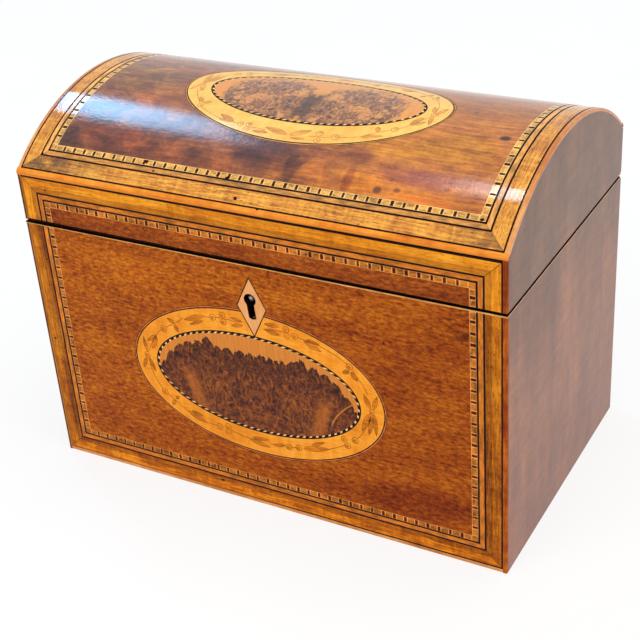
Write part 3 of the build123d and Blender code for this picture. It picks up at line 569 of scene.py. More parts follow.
# Woods: dark, middle and light colour, and settings
woods = {
    "front_field": ((0.16, 0.02, 0.001), (0.385, 0.082, 0.002), (0.62, 0.19, 0.008),
        dict(FIELD, figure=0.3, speck=0.55, ripple=0.42, extra=front_field_tones)),
    "lid_front_field": ((0.11, 0.016, 0.001), (0.27, 0.05, 0.003), (0.48, 0.125, 0.01),
        dict(FIELD, speck=0.5, ripple=0.38)),
    "dome_field": ((0.25, 0.058, 0.008), (0.48, 0.145, 0.018), (0.68, 0.24, 0.03),
        dict(figure=0.4, ripple=0.28, ripple_size=(0.22, 0.3), fibre=1.1, fibre_size=(0.05, 0.75),
             speck=0.4, wave=0.05, extra=dome_field_tones, polish=DEEP_POLISH)),
    "side": ((0.12, 0.034, 0.012), (0.25, 0.082, 0.028), (0.4, 0.15, 0.055),
        dict(SIDE, vector="ZYX", ripple=0.15, pores=0.6)),
    "back": ((0.13, 0.036, 0.012), (0.27, 0.086, 0.027), (0.39, 0.14, 0.048), dict(SIDE, vector="XZY", pores=0.5)),
    "crossband": ((0.2, 0.04, 0.001), (0.43, 0.115, 0.003), (0.7, 0.24, 0.01),
        dict(THIN, fibre_size=(0.1, 1.2), fibre=1.1, figure=0.6, ripple=0.25, pores=0.8, speck=0.4,
             extra=crossband_tones)),
    "lid_crossband": ((0.44, 0.115, 0.003), (0.74, 0.245, 0.008), (0.92, 0.38, 0.022),
        dict(THIN, fibre_size=(0.1, 1.2), fibre=0.9, figure=0.5, pores=0.6, speck=0.3,
             extra=lid_crossband_tones)),
    "dome_crossband": ((0.32, 0.09, 0.006), (0.64, 0.245, 0.018), (0.88, 0.43, 0.05),
        dict(fibre_size=(0.05, 1.1), fibre=1.3, ripple=0.3, pores=0.9, speck=0.5, wave=0.01,
             extra=dome_crossband_tones, polish=BAND_POLISH)),
    "string": ((0.15, 0.018, 0.002), (0.295, 0.048, 0.003), (0.54, 0.14, 0.01), dict(STRING, pores=0.2)),
    "worn_string": ((0.2, 0.055, 0.004), (0.42, 0.125, 0.008), (0.62, 0.21, 0.02),
        dict(STRING, extra=worn_string_tones)),
    "back_string": ((0.08, 0.03, 0.01), (0.19, 0.08, 0.032), (0.3, 0.135, 0.058), STRING),
    "foot_string": ((0.38, 0.11, 0.022), (0.62, 0.24, 0.07), (0.8, 0.37, 0.14), STRING),
    "dome_string": ((0.48, 0.11, 0.008), (0.7, 0.21, 0.018), (0.86, 0.32, 0.04), dict(STRING, pores=0.2)),
    "arc_string": ((0.36, 0.118, 0.02), (0.61, 0.23, 0.05), (0.78, 0.345, 0.1),
        dict(STRING, extra=arc_string_tones, polish=POLISH)),
    "border": ((0.66, 0.19, 0.01), (0.86, 0.3, 0.018), (0.96, 0.43, 0.05), BORDER | THIN),
    "dome_border": ((0.7, 0.34, 0.05), (0.86, 0.48, 0.085), (0.95, 0.6, 0.15), BORDER),
    "lozenge": ((0.58, 0.225, 0.07), (0.76, 0.34, 0.12), (0.86, 0.43, 0.175),
        dict(THIN, fibre=0.6, figure=0.3, ripple=0.15, pores=0.1)),
    "carcass": ((0.135, 0.045, 0.018), (0.26, 0.1, 0.042), (0.39, 0.168, 0.072), dict(CARCASS, vector="XYZ")),
    "carcass_side": ((0.135, 0.045, 0.018), (0.26, 0.1, 0.042), (0.39, 0.168, 0.072), dict(CARCASS, vector="YXZ")),
    "fitting": ((0.13, 0.034, 0.013), (0.31, 0.1, 0.036), (0.48, 0.185, 0.072),
        dict(CARCASS, vector="XYZ", fibre=0.8, figure=0.5, rough=(0.4, 0.6),
             polish={"Coat_Weight": 0.3, "Coat_Roughness": 0.25})),
}

# Small inlays: colour and settings
inlays = {
    "side_rim": ((0.43, 0.225, 0.115), {}),
    "rim_string": ((0.62, 0.3, 0.08), dict(spread=0.35)),
    "light_line": ((0.55, 0.16, 0.016), dict(spread=0.45)),
    "dome_light_line": ((0.54, 0.21, 0.04), dict(spread=0.5, extra=dome_light_tones, polish=POLISH)),
    "dark_line": ((0.012, 0.003, 0.002), dict(spread=0.6)),
    "worn_line": ((0.012, 0.003, 0.002), dict(spread=0.6, extra=worn_line_tones)),
    "chequer_tan": ((0.4, 0.13, 0.016), dict(spread=0.6, size=(0.5, 1.2))),
    "chequer_pale": ((0.72, 0.27, 0.055), {}),
    "chequer_black": ((0.065, 0.009, 0.003), dict(spread=0.6)),
    "dome_chequer_tan": ((0.6, 0.29, 0.055), dict(spread=0.6, size=(0.5, 1.2), polish=BAND_POLISH)),
    "dome_chequer_pale": ((0.82, 0.48, 0.14), dict(spread=0.35, polish=BAND_POLISH)),
    "vine_leaf": ((0.55, 0.165, 0.008), dict(spread=0.35)),
    "vine_line": ((0.34, 0.088, 0.006), {}),
    "dome_vine_leaf": ((0.68, 0.3, 0.04), dict(spread=0.3, polish=POLISH)),
    "dome_vine_line": ((0.46, 0.15, 0.022), dict(polish=POLISH)),
    "oval_line": ((0.52, 0.15, 0.045), {}),
    "rope_pale": ((0.82, 0.48, 0.19), dict(spread=0.3)),
}

M = {
    "front_burr": burr("front_burr_wood", (0.66, 0.225, 0.036), (0.036, 0.013, 0.015), (0.15, 0.039, 0.014),
                       (0.35, 0.105, 0.02), (0.46, 0.13, 0.02), 0.3, front_burr_mask, THIN_POLISH),
    "dome_burr": burr("dome_burr_wood", (0.74, 0.29, 0.06), (0.075, 0.04, 0.034), (0.29, 0.115, 0.052),
                      (0.62, 0.27, 0.09), (0.76, 0.32, 0.085), 0.7, dome_burr_mask, POLISH),
    "knob": inlay("knob_bone", (0.74, 0.62, 0.42), spread=0.12, vector="ZXY", size=(0.1, 1.2), rough=0.3,
                  polish=POLISH),
    "foil": foil_finish(),
    "paper": paper_finish(),
    "brass": metal("old_brass", (0.7, 0.47, 0.17), (0.2, 0.115, 0.04)),
    "steel": metal("old_steel", (0.42, 0.41, 0.39), (0.12, 0.085, 0.06), rough=(0.3, 0.5)),
    "pin": pin_painted_highlight(),
    "dirt": shade_and_dirt_finish(),
}
M |= {key: wood(key, dark, middle, light, **settings) for key, (dark, middle, light, settings) in woods.items()}
M |= {key: inlay(f"{key}_wood", colour, **settings) for key, (colour, settings) in inlays.items()}


# Mesh making

def add_piece(name, body, slot, materials, replaced, verts, faces, uvs, indices, normals=None):
    """One object from points in millimetres. uvs and normals are given for each corner of each face."""
    mesh = bpy.data.meshes.new(name)
    mesh.from_pydata([(x * MM, y * MM, z * MM) for x, y, z in verts], [], faces)
    for material in materials:
        mesh.materials.append(M[material])
    mesh.polygons.foreach_set("material_index", indices)
    mesh.uv_layers.new(name="grain").data.foreach_set("uv", [value for pair in uvs for value in pair])
    if normals:
        mesh.normals_split_custom_set(normals)
    else:
        work = bmesh.new()
        work.from_mesh(mesh)
        bmesh.ops.recalc_face_normals(work, faces=work.faces)
        work.to_mesh(mesh)
        work.free()
        mesh.shade_smooth()
        mesh.set_sharp_from_angle(angle=math.radians(35))
    piece = bpy.data.objects.new(name, mesh)
    bpy.context.scene.collection.objects.link(piece)
    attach(piece, body)
    if replaced:
        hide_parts(*replaced)


class Plates:
    """Flush plates on one face, gathered into one object: closed solids of the veneer's thickness."""

    def __init__(self, surface, thickness=veneer, lift=0.0):
        self.place, self.normal = surface
        self.levels = (-lift, thickness)
        self.verts, self.faces, self.uvs, self.indices, self.normals = [], [], [], [], []

    def add(self, points, faces, indices=0, grain=lambda u, v: (u, v), wall=None):
        """A flat mesh in the face's own coordinates: faces run anticlockwise, indices and wall pick materials."""
        base, count = len(self.verts), len(points)
        self.verts += [self.place(u, v, level) for level in self.levels for u, v in points]
        uvs = [grain(*p) for p in points]
        normals = [Vector(self.normal(*p)) for p in points]
        if isinstance(indices, int):
            indices = [indices] * len(faces)
        edges = {}
        for face, index in zip(faces, indices):
            edges.update(dict.fromkeys(zip(face, face[1:] + face[:1]), index))
            back = face[::-1]
            self.face([base + i for i in face], [uvs[i] for i in face], index, [normals[i] for i in face])
            self.face([base + count + i for i in back], [uvs[i] for i in back], index, [-normals[i] for i in back])
        for (a, b), index in edges.items():
            if (b, a) not in edges:
                ring = [base + b, base + a, base + count + a, base + count + b]
                p, q, r = (Vector(self.verts[i]) for i in ring[:3])
                flat = (q - p).cross(r - p).normalized()
                self.face(ring, [uvs[i] for i in (b, a, a, b)], index if wall is None else wall, [flat] * 4)

    def face(self, face, uvs, index, normals):
        self.faces.append(face)
        self.uvs += uvs
        self.indices.append(index)
        self.normals += normals

    def make(self, name, body, slot, materials, *replaced):
        add_piece(name, body, slot, materials, replaced, self.verts, self.faces, self.uvs, self.indices, self.normals)


def between(p, q, share):
    return tuple(a + (b - a) * share for a, b in zip(p, q))


def region(loops, inside, spacing=None):
    """Triangles that fill a flat region bounded by loops, with extra points on a grid where it curves."""
    points, edges = [], []
    for loop in loops:
        first = len(points)
        points += loop
        edges += [(first + i, first + (i + 1) % len(loop)) for i in range(len(loop))]
    if spacing:
        us, vs = zip(*points)
        u = min(us) + spacing[0] / 2
        while u < max(us):
            v = min(vs) + spacing[1] / 2
            while v < max(vs):
                if inside(u, v):
                    points.append((u, v))
                v += spacing[1]
            u += spacing[0]
    found, _, faces, *_ = delaunay_2d_cdt([Vector(p) for p in points], edges, [], 0, 1e-4)
    kept = [list(face) for face in faces if inside(*(sum(found[i][k] for i in face) / len(face) for k in (0, 1)))]
    used = sorted({i for face in kept for i in face})
    index = {old: new for new, old in enumerate(used)}
    return [tuple(found[i]) for i in used], [[index[i] for i in face] for face in kept]


# Bands

arc_step = 2.0
chequer_black = 1.0
chequer_pale = 0.42
chequer_pitch = 4.3
chequer_rows = (0.0, 0.05, 0.91, 1.0)
mitre_half = 0.07


def band_quads(rect, start, end, open_side=None):
    """The mitred strips of one band round a rectangle, anticlockwise. The open side has none."""
    u0, v0, u1, v1 = rect
    low_out, low_in = (v0, v0) if open_side == "bottom" else (v0 + start, v0 + end)
    high_out, high_in = (v1, v1) if open_side == "top" else (v1 - start, v1 - end)
    outer = [(u0 + start, low_out), (u1 - start, low_out), (u1 - start, high_out), (u0 + start, high_out)]
    inner = [(u0 + end, low_in), (u1 - end, low_in), (u1 - end, high_in), (u0 + end, high_in)]
    for number, side in enumerate(("bottom", "right", "top", "left")):
        after = (number + 1) % 4
        if side != open_side:
            yield side, (outer[number], outer[after], inner[after], inner[number])


def add_band(plates, rect, start, end, open_side=None, material=0):
    """One band of plain wood, its grain along each strip, cut finely where it follows the dome's arc."""
    curved = rect is dome_rect
    u0, v0, u1, v1 = rect
    for number, (side, (start_out, end_out, end_in, start_in)) in enumerate(band_quads(rect, start, end, open_side)):
        upright = side in ("left", "right")
        count = math.ceil(abs(end_out[1] - start_out[1]) / arc_step) if curved and upright else 1
        rungs = 3 if curved and not upright and end - start > 1 else 1
        points = [between(between(start_out, end_out, i / count), between(start_in, end_in, i / count), k / rungs)
                  for i in range(count + 1) for k in range(rungs + 1)]
        step = rungs + 1
        faces = [[i * step + k, (i + 1) * step + k, (i + 1) * step + k + 1, i * step + k + 1]
                 for i in range(count) for k in range(rungs)]
        shift = 211.0 * number
        edge, sign = {"bottom": (v0, 1), "top": (v1, -1), "left": (u0, 1), "right": (u1, -1)}[side]
        plates.add(points, faces, material, lambda u, v: (v + shift, sign * (u - edge)) if upright
                   else (u + shift, sign * (v - edge)))


def add_chequer(plates, rect, open_side=None):
    """The chequer band: a tan block and a black bar in turn, each edged with pale slips."""
    tan, pale, black = range(3)
    rows = len(chequer_rows)
    for number, (side, quad) in enumerate(band_quads(rect, band_start["chequer"], band_start["field"], open_side)):
        start_out, end_out, end_in, start_in = (Vector(p) for p in quad)
        ahead = (end_out - start_out).normalized()
        first, last = (start_in - start_out).dot(ahead), (end_in - start_out).dot(ahead)
        count = round((last - first + chequer_black) / chequer_pitch)
        pitch = (last - first + chequer_black) / count
        cuts, kinds = [first], []
        for k in range(count):
            bar = chequer_black * rand.uniform(0.8, 1.2)
            slip = chequer_pale * rand.uniform(0.85, 1.15)
            block_end = first + (k + 1) * pitch - chequer_black
            edges = (cuts[-1] + slip, block_end - slip, block_end, block_end + bar)
            for kind, edge in zip((pale, tan, pale, black), edges):
                if edge <= last + 0.01:
                    cuts.append(edge)
                    kinds.append(kind)
        points, faces, indices = [], [], []
        for place in cuts:
            outer, inner = start_out + ahead * place, start_in + ahead * (place - first)
            points += [tuple(outer + (inner - outer) * share) for share in chequer_rows]
        for k, kind in enumerate(kinds):
            for i in range(rows - 1):
                near, far = k * rows + i, (k + 1) * rows + i
                faces.append([near, far, far + 1, near + 1])
                indices.append(kind if i == 1 else pale)
        tail = (len(cuts) - 1) * rows
        if first > 0.1:
            points.append(tuple(start_out))
            faces.append([len(points) - 1, *range(rows)])
            indices.append(tan)
        if (end_out - start_out).length - last > 0.1:
            points.append(tuple(end_out))
            faces.append([tail, len(points) - 1, *range(tail + rows - 1, tail, -1)])
            indices.append(tan)
        shift = 97.0 * number
        upright = side in ("left", "right")
        plates.add(points, faces, indices, lambda u, v: (v + shift, u) if upright else (u + shift, v))


def add_bands(name, body, node, surface, rect, open_side, cross_wood, prefix=""):
    """Every band round one face, and the thin dark joints where the crossbanding's strips meet."""
    def make(plates, part, slot, materials):
        plates.make(f"{name}_{part}", body, slot, materials, *([f"{node}_{part}"] if node else []))

    lines = (("outer", "cross", 1 if node else 0), ("middle", "light", 0), ("inner", "chequer", 0))
    for part, slot, runs, materials in (
        ("crossbanding", "crossband_veneer", (("cross", "middle", 0),), [cross_wood]),
        ("light_line", "boxwood_line", (("light", "inner", 0),), [f"{prefix}light_line"]),
        ("dark_lines", "dark_line", lines, ["dark_line", "worn_line"] if node else ["dark_line"]),
    ):
        plates = Plates(surface)
        for start, end, material in runs:
            add_band(plates, rect, band_start[start], band_start[end], open_side, material)
        make(plates, part, slot, materials)
    plates = Plates(surface)
    add_chequer(plates, rect, open_side)
    make(plates, "chequer_band", "chequer_band", [f"{prefix}chequer_tan", f"{prefix}chequer_pale", "chequer_black"])
    plates = Plates(surface, film, film_lift)
    for _, (_, (u0, v0), (u1, v1), _) in band_quads(rect, band_start["cross"], band_start["middle"], open_side):
        if abs(u1 - u0) > 1 and abs(v1 - v0) > 1:
            size = math.hypot(u1 - u0, v1 - v0)
            du, dv = mitre_half * (v1 - v0) / size, -mitre_half * (u1 - u0) / size
            plates.add([(u0 + du, v0 + dv), (u1 + du, v1 + dv), (u1 - du, v1 - dv), (u0 - du, v0 - dv)], [[0, 1, 2, 3]])
    plates.make(f"{node or name}_mitres", body, "dark_line", ["dark_line"])


# Ovals, lozenge and fields

oval_steps = 160


def ellipse_point(oval, inset, angle):
    """A point on an oval's line, in X and Z on the front, or X and arc length on the dome."""
    cx, cy, a, b = oval
    y = cy + (b - inset) * math.sin(angle)
    return (cx + (a - inset) * math.cos(angle), up_to_arc(y) if oval is dome_oval else y)


def even_angles(oval, inset, count):
    """Angles that step evenly along an oval."""
    a, b = oval[2] - inset, oval[3] - inset
    fine = 2880
    sums = [0.0]
    for k in range(fine):
        t = 2 * math.pi * (k + 0.5) / fine
        sums.append(sums[-1] + math.hypot(a * math.sin(t), b * math.cos(t)))
    angles, k = [], 0
    for i in range(count):
        here = sums[-1] * i / count
        while sums[k + 1] < here:
            k += 1
        angles.append(2 * math.pi * (k + (here - sums[k]) / (sums[k + 1] - sums[k])) / fine)
    return angles


def oval_loop(oval, inset):
    return [ellipse_point(oval, inset, t) for t in even_angles(oval, inset, oval_steps)]


def in_oval(oval, inset, u, v):
    cx, cy, a, b = oval
    y = dome_radius * math.sin(v / dome_radius) if oval is dome_oval else v
    return ((u - cx) / (a - inset)) ** 2 + ((y - cy) / (b - inset)) ** 2 < 1


def lozenge_loop(grow=0.0):
    cx, cz = lozenge_centre
    hx, hz = lozenge_half[0] + grow, lozenge_half[1] + 2 * grow
    return [(cx + hx, cz), (cx, cz + hz), (cx - hx, cz), (cx, cz - hz)]


def in_lozenge(u, v, grow=0.0):
    cx, cz = lozenge_centre
    return abs(u - cx) / (lozenge_half[0] + grow) + abs(v - cz) / (lozenge_half[1] + 2 * grow) < 1


def fields():
    at = band_start["field"]
    u, low, high = half_width - at, lid_bottom, spring_height - at
    plates = Plates(FRONT)
    plates.add(*region(
        [[(-u, at), (u, at), (u, veneer_top), (-u, veneer_top)], oval_loop(front_oval, 0), lozenge_loop(lozenge_line)],
        lambda u, v: not in_oval(front_oval, 0, u, v) and not in_lozenge(u, v, lozenge_line)))
    plates.make("front_field", "box", "front_field_veneer", ["front_field"], "front_veneer")
    plates = Plates(FRONT)
    plates.add([(-u, low), (u, low), (u, high), (-u, high)], [[0, 1, 2, 3]])
    plates.make("lid_front_field", "lid", "front_field_veneer", ["lid_front_field"], "lid_front_veneer")
    plates = Plates(DOME)
    arc = [(dome_arc - at) * (k / 20 - 1) for k in range(41)]
    plates.add(*region([[(u, v) for v in arc] + [(-u, -v) for v in arc], oval_loop(dome_oval, 0)],
                       lambda u, v: not in_oval(dome_oval, 0, u, v), (6.0, 2.5)))
    plates.make("dome_field", "lid", "dome_field_veneer", ["dome_field"], "dome_veneer")


def add_ring(plates, oval, outer, inner, material=0):
    """A plain ring of an oval between two insets, cut by the lozenge on the front."""
    cut = oval is front_oval and outer < border_inner
    loops = [oval_loop(oval, outer), oval_loop(oval, inner)] + [lozenge_loop(lozenge_line)] * cut

    def inside(u, v):
        ring = in_oval(oval, outer, u, v) and not in_oval(oval, inner, u, v)
        return ring and not (cut and in_lozenge(u, v, lozenge_line))

    spacing = (3.0, 2.0) if oval is dome_oval and inner - outer > 2 else None
    plates.add(*region(loops, inside, spacing), material)


rope_pitch = 2.75
rope_slant = 0.75


def add_rope(plates, oval):
    """The rope ring: dark and pale slanted blocks in turn."""
    count = round(math.pi * (oval[2] + oval[3] - 2 * rope_start) / rope_pitch)
    slant = rope_slant / rope_pitch * 2 * math.pi / count
    points = []
    for inset, turn in ((rope_start, 0.0), (panel_start, slant)):
        angles = even_angles(oval, inset, 8 * count)
        points += [ellipse_point(oval, inset, angles[8 * k + step] + turn) for k in range(count) for step in (0, 5)]
    n = 2 * count
    plates.add(points, [[i, (i + 1) % n, n + (i + 1) % n, n + i] for i in range(n)], [0, 1] * count)


# The vine, from the oval's centre: leaves from stalk to tip with their half width, rings, and stems
vine_leaves = (
    (46.3, 1.3, 43.8, 7.3, 1.0), (47.2, 1.3, 49.0, 7.3, 0.9), (46.1, -0.2, 42.3, -8.7, 1.25),
    (46.8, -0.4, 45.0, -9.8, 1.0), (47.4, -0.2, 48.0, -9.4, 0.9), (38.9, 15.1, 36.0, 13.7, 0.9),
    (39.4, 14.9, 41.9, 11.6, 1.0), (21.7, 23.2, 28.6, 20.3, 1.2), (22.8, 24.0, 28.0, 22.9, 0.6),
    (12.3, 26.6, 6.2, 26.6, 0.9), (-32.2, 17.9, -31.0, 14.9, 0.95), (-41.1, 11.3, -45.8, 8.0, 0.9),
    (-41.1, 10.9, -43.9, 4.8, 1.05), (-46.4, 2.9, -47.3, 9.6, 0.8), (-47.0, 0.7, -49.2, -4.5, 0.85),
    (-45.9, 0.7, -43.9, -5.0, 0.85), (-36.7, -15.8, -38.2, -18.7, 0.8), (-36.3, -15.2, -34.6, -13.8, 0.7),
    (-31.7, -19.3, -23.2, -22.9, 1.25), (-29.6, -18.9, -24.6, -20.1, 0.65), (-5.0, -25.1, 3.9, -26.4, 1.0),
    (-3.9, -24.1, 3.5, -23.2, 0.9), (10.0, -23.6, 5.4, -24.8, 0.9), (17.8, -22.9, 28.9, -20.2, 1.25),
    (21.4, -20.4, 27.0, -17.8, 0.7),
)
vine_rings = (
    (39.0, 16.9, 1.2), (15.0, 26.2, 1.2), (15.2, 23.7, 1.2), (18.3, 24.2, 1.2), (-37.4, 15.1, 1.3), (-46.6, 1.8, 1.2),
    (46.7, 0.6, 1.0), (-40.9, -13.2, 1.3), (-17.8, -22.9, 1.3), (-14.0, -21.8, 1.2), (-14.0, -24.3, 1.2),
    (11.7, -23.9, 1.2), (15.9, -23.2, 1.2), (36.2, -16.6, 1.2), (35.0, -14.0, 1.15), (39.4, -13.4, 1.25),
)
vine_stems = (
    ((45.6, 7.0), (43.6, 10.8), (41.7, 13.2), (40.0, 15.6)), ((38.0, 17.8), (33.9, 20.1), (27.5, 22.6), (19.5, 24.0)),
    ((14.0, 25.0), (11.0, 25.0), (7.6, 25.4)), ((-28.2, 21.4), (-31.1, 19.0), (-36.2, 15.9)),
    ((-38.4, 14.3), (-40.6, 12.3), (-43.4, 8.0), (-46.0, 3.0)),
    ((-46.3, 0.6), (-45.6, -4.0), (-44.0, -8.5), (-41.7, -12.2)),
    ((-39.8, -14.0), (-36.2, -16.4), (-31.7, -19.3)), ((-23.3, -22.6), (-19.2, -22.8)),
    ((-13.0, -23.1), (-8.0, -24.3), (-3.0, -24.8)), ((3.9, -24.9), (7.4, -24.2), (10.6, -23.8)),
    ((13.0, -23.7), (14.7, -23.3)), ((28.6, -20.2), (32.8, -18.0), (35.0, -16.7)),
    ((40.3, -12.4), (42.6, -9.4), (44.4, -5.0)),
)
# What differs between the two ovals: leaves, rings and stems of one stretch
stretches = {
    "front": (
        ((12.3, 23.4, 6.0, 24.4, 1.0), (-2.6, 25.3, -7.4, 26.2, 0.8), (-2.6, 24.0, -7.4, 22.9, 0.8),
         (-18.9, 24.2, -27.8, 20.8, 1.15), (-19.4, 22.2, -25.4, 19.4, 0.7), (-32.2, 18.4, -35.2, 20.0, 0.85)),
        ((-10.8, 26.3, 1.2), (-10.6, 23.7, 1.2), (-15.0, 24.6, 1.25)),
        (((-5.4, 24.6), (-7.5, 25.1), (-9.8, 25.0)), ((-11.8, 25.2), (-13.8, 24.8)), ((-16.2, 24.3), (-18.9, 24.0))),
    ),
    "dome": (
        ((-1.2, 26.0, 8.4, 23.9, 1.3), (-2.1, 26.0, -9.2, 22.3, 1.3), (-3.1, 27.4, -8.8, 27.0, 0.7),
         (-27.0, 22.0, -35.0, 19.8, 0.9)),
        ((-12.6, 23.2, 1.35), (-13.2, 26.8, 1.2), (-18.9, 23.9, 1.45)),
        (((-8.8, 25.4), (-13.0, 25.0), (-17.3, 24.3)), ((-20.4, 23.8), (-24.0, 22.8), (-27.0, 22.0))),
    ),
}
vine_ink = 0.12
vine_depth = 0.03
leaf_steps = 8
berry_corners = 14
berry_size = 0.62
berry_squash = 0.96
berry_shift = 0.2


def smooth_path(knots, steps=5):
    """A smooth line through points, by Catmull and Rom."""
    ends = [knots[0], *knots, knots[-1]]
    path = []
    for p, q, r, t in zip(ends, ends[1:], ends[2:], ends[3:]):
        for f in (k / steps for k in range(steps)):
            path.append(tuple(0.5 * (2 * b + (c - a) * f + (2 * a - 5 * b + 4 * c - d) * f * f
                                     + (3 * b - a - 3 * c + d) * f**3) for a, b, c, d in zip(p, q, r, t)))
    return path + [knots[-1]]


def leaf_shape(x0, y0, x1, y1, half):
    """Two edges of a pointed leaf from its stalk to its tip."""
    length = math.hypot(x1 - x0, y1 - y0)
    dx, dy = (x1 - x0) / length, (y1 - y0) / length
    left, right = [], []
    for t in (i / leaf_steps for i in range(leaf_steps + 1)):
        wide = half * math.sin(math.pi * t) ** 0.8 * (1.15 - 0.45 * t) if 0 < t < 1 else 0.0
        x, y = x0 + (x1 - x0) * t, y0 + (y1 - y0) * t
        left.append((x - dy * wide, y + dx * wide))
        right.append((x + dy * wide, y - dx * wide))
    return left, right


def add_facing_up(plates, points, faces):
    """Adds a flat mesh, turned round where its faces run clockwise."""
    area = sum(points[a][0] * points[b][1] - points[b][0] * points[a][1]
               for face in faces for a, b in zip(face, face[1:] + face[:1]))
    plates.add(points, faces if area > 0 else [face[::-1] for face in faces])


def add_filled(plates, point, left, right):
    """A strip between two edges that meet in a point at either end."""
    n = len(left)
    across = [0, *range(n, 2 * n - 2), n - 1]
    faces = [list(dict.fromkeys((across[i], across[i + 1], i + 1, i))) for i in range(n - 1)]
    add_facing_up(plates, [point(*p) for p in left + right[1:-1]], faces)


def add_trail(plates, point, path, half, closed=False):
    """A thin line of even width along a path."""
    count = len(path)
    left, right = [], []
    for i, (x, y) in enumerate(path):
        before = path[i - 1] if i or closed else path[0]
        after = path[(i + 1) % count] if i < count - 1 or closed else path[-1]
        size = math.dist(before, after)
        dx, dy = (after[0] - before[0]) / size * half, (after[1] - before[1]) / size * half
        left.append(point(x - dy, y + dx))
        right.append(point(x + dy, y - dx))
    spans = count if closed else count - 1
    faces = [[count + i, count + (i + 1) % count, (i + 1) % count, i] for i in range(spans)]
    add_facing_up(plates, left + right, faces)


def add_vine(name, oval, surface, body, turn, prefix):
    """The trailing vine let into an oval's border: leaves, rings and stems with pen lines."""
    cx, cy, a, b = oval

    def point(x, y):
        x, y = cx + turn * x * a / front_oval[2], cy + turn * y * b / front_oval[3]
        return (x, up_to_arc(y) if oval is dome_oval else y)

    fill, ink = Plates(surface, vine_depth, film_lift), Plates(surface, vine_depth, sink)
    leaves, rings, stems = stretches[name]
    for leaf in vine_leaves + leaves:
        left, right = leaf_shape(*leaf)
        add_filled(fill, point, left, right)
        add_trail(ink, point, left[:-1] + right[:0:-1], vine_ink * 0.7, closed=True)
        add_trail(ink, point, [leaf[:2], leaf[2:4]], vine_ink * 0.5)
    for x, y, radius in vine_rings + rings:
        add_trail(ink, point, [(x + u, y + v) for u, v in circle(berry_corners, radius)], vine_ink, closed=True)
        edge = circle(berry_corners, berry_size * radius)[:berry_corners // 2 + 1]
        add_filled(fill, point, *([(x - berry_shift + u, y - berry_shift + side * v) for u, v in edge]
                                  for side in (berry_squash, -berry_squash)))
    for knots in vine_stems + stems:
        add_trail(ink, point, smooth_path(knots), vine_ink)
    fill.make(f"{name}_vine_leaves", body, "oval_border_veneer", [f"{prefix}vine_leaf"])
    ink.make(f"{name}_vine_lines", body, "oval_border_veneer", [f"{prefix}vine_line"])


def add_oval(name, oval, surface, body, prefix=""):
    """Outline, border, rope ring and burr panel of one oval, and its vine, which is turned round on the dome."""
    plates = Plates(surface)
    # Dark, pale, dark: the first dark ring is painted shade round the oval
    for outer, inner, material in zip(outline_and_shade_rings, outline_and_shade_rings[1:], (1, 0, 1)):
        add_ring(plates, oval, outer, inner, material)
    add_ring(plates, oval, border_inner, rope_start, 1)
    plates.make(f"{name}_oval_lines", body, "dark_line", ["dome_light_line" if prefix else "oval_line", "dark_line"])
    plates = Plates(surface)
    add_ring(plates, oval, outline_and_shade_rings[-1], border_inner)
    plates.make(f"{name}_oval_border", body, "oval_border_veneer", [f"{prefix}border"], f"{name}_oval_border")
    plates = Plates(surface)
    add_rope(plates, oval)
    plates.make(f"{name}_rope_ring", body, "rope_ring", ["dark_line", "rope_pale"], f"{name}_rope_ring")
    plates = Plates(surface)
    cx, cy = oval[0], ellipse_point(oval, 0, 0.0)[1]
    plates.add(*region([oval_loop(oval, panel_start)], lambda u, v: in_oval(oval, panel_start, u, v),
                       (5.0, 2.5) if prefix else None), grain=lambda u, v: (u - cx, v - cy))
    plates.make(f"{name}_burr_panel", body, "burr_veneer", [f"{name}_burr"], f"{name}_burr_panel")
    add_vine(name, oval, surface, body, -1.0 if prefix else 1.0, prefix)


# Keyhole

def keyhole_loop():
    """The keyhole's outline: a round top and a slot that leans a little, its foot worn ragged."""
    cx, cz = keyhole_centre
    lip = math.asin(keyhole_slot_half / keyhole_radius)
    steps, foot = 22, 8
    loop = []
    for k in range(steps + 1):
        t = -math.pi / 2 + lip + (2 * math.pi - 2 * lip) * k / steps
        loop.append((cx + keyhole_radius * math.cos(t), cz + keyhole_radius * math.sin(t)))
    for t in (k / foot for k in range(foot + 1)):
        x = cx + keyhole_slot_half * (2 * t - 1) + keyhole_slant
        loop.append((x, cz - keyhole_drop - 0.35 * math.sin(math.pi * t) + rand.uniform(-0.16, 0.16)))
    return loop


def in_loop(loop, u, v):
    inside = False
    for (a, b), (c, d) in zip(loop, loop[1:] + loop[:1]):
        if (b > v) != (d > v) and u < (c - a) * (v - b) / (d - b) + a:
            inside = not inside
    return inside


def keyhole_lozenge():
    """The lozenge with its dark line, and a near-black lining on the walls of the keyhole behind it."""
    hole = keyhole_loop()
    plates = Plates(FRONT, lift=sink / 2)
    plates.add(*region([lozenge_loop(), hole], lambda u, v: in_lozenge(u, v) and not in_loop(hole, u, v)), 0,
               lambda u, v: (v, u), wall=1)
    plates.add(*region([lozenge_loop(), lozenge_loop(lozenge_line)],
                       lambda u, v: in_lozenge(u, v, lozenge_line) and not in_lozenge(u, v)), 1)
    plates.make("keyhole_lozenge", "box", "lozenge_inlay", ["lozenge", "dark_line"], "keyhole_lozenge")
    dark_lining = Plates((lambda u, v, d: front(u, v, d + veneer), FRONT[1]))
    cx, cz = keyhole_centre
    inner = [(cx + (u - cx) * 0.93, cz + (v - cz) * 0.97) for u, v in hole]
    dark_lining.add(*region([hole, inner], lambda u, v: in_loop(hole, u, v) and not in_loop(inner, u, v)))
    dark_lining.make("keyhole_soot", "box", "carcass_wood", ["dirt"])


# Strings along the corners: a section carried along a line, its outer edge eased

edge_ease = 0.45
ease_steps = 5
string_low_left = 1.4
string_low_right = 0.95
dome_string_cuts = 64
rim_back = half_depth - 1.0
# How far down the rim's top edge the painted shade of the gap under the lid reaches, at the left and right ends
gap_shade_left = 0.42
gap_shade_right = 0.16
SIDES = (-1, 1)


def rightwards(x, left, right):
    """A size that changes evenly from the left end of the box to the right."""
    return left + (right - left) * (x + half_width) / (2 * half_width)


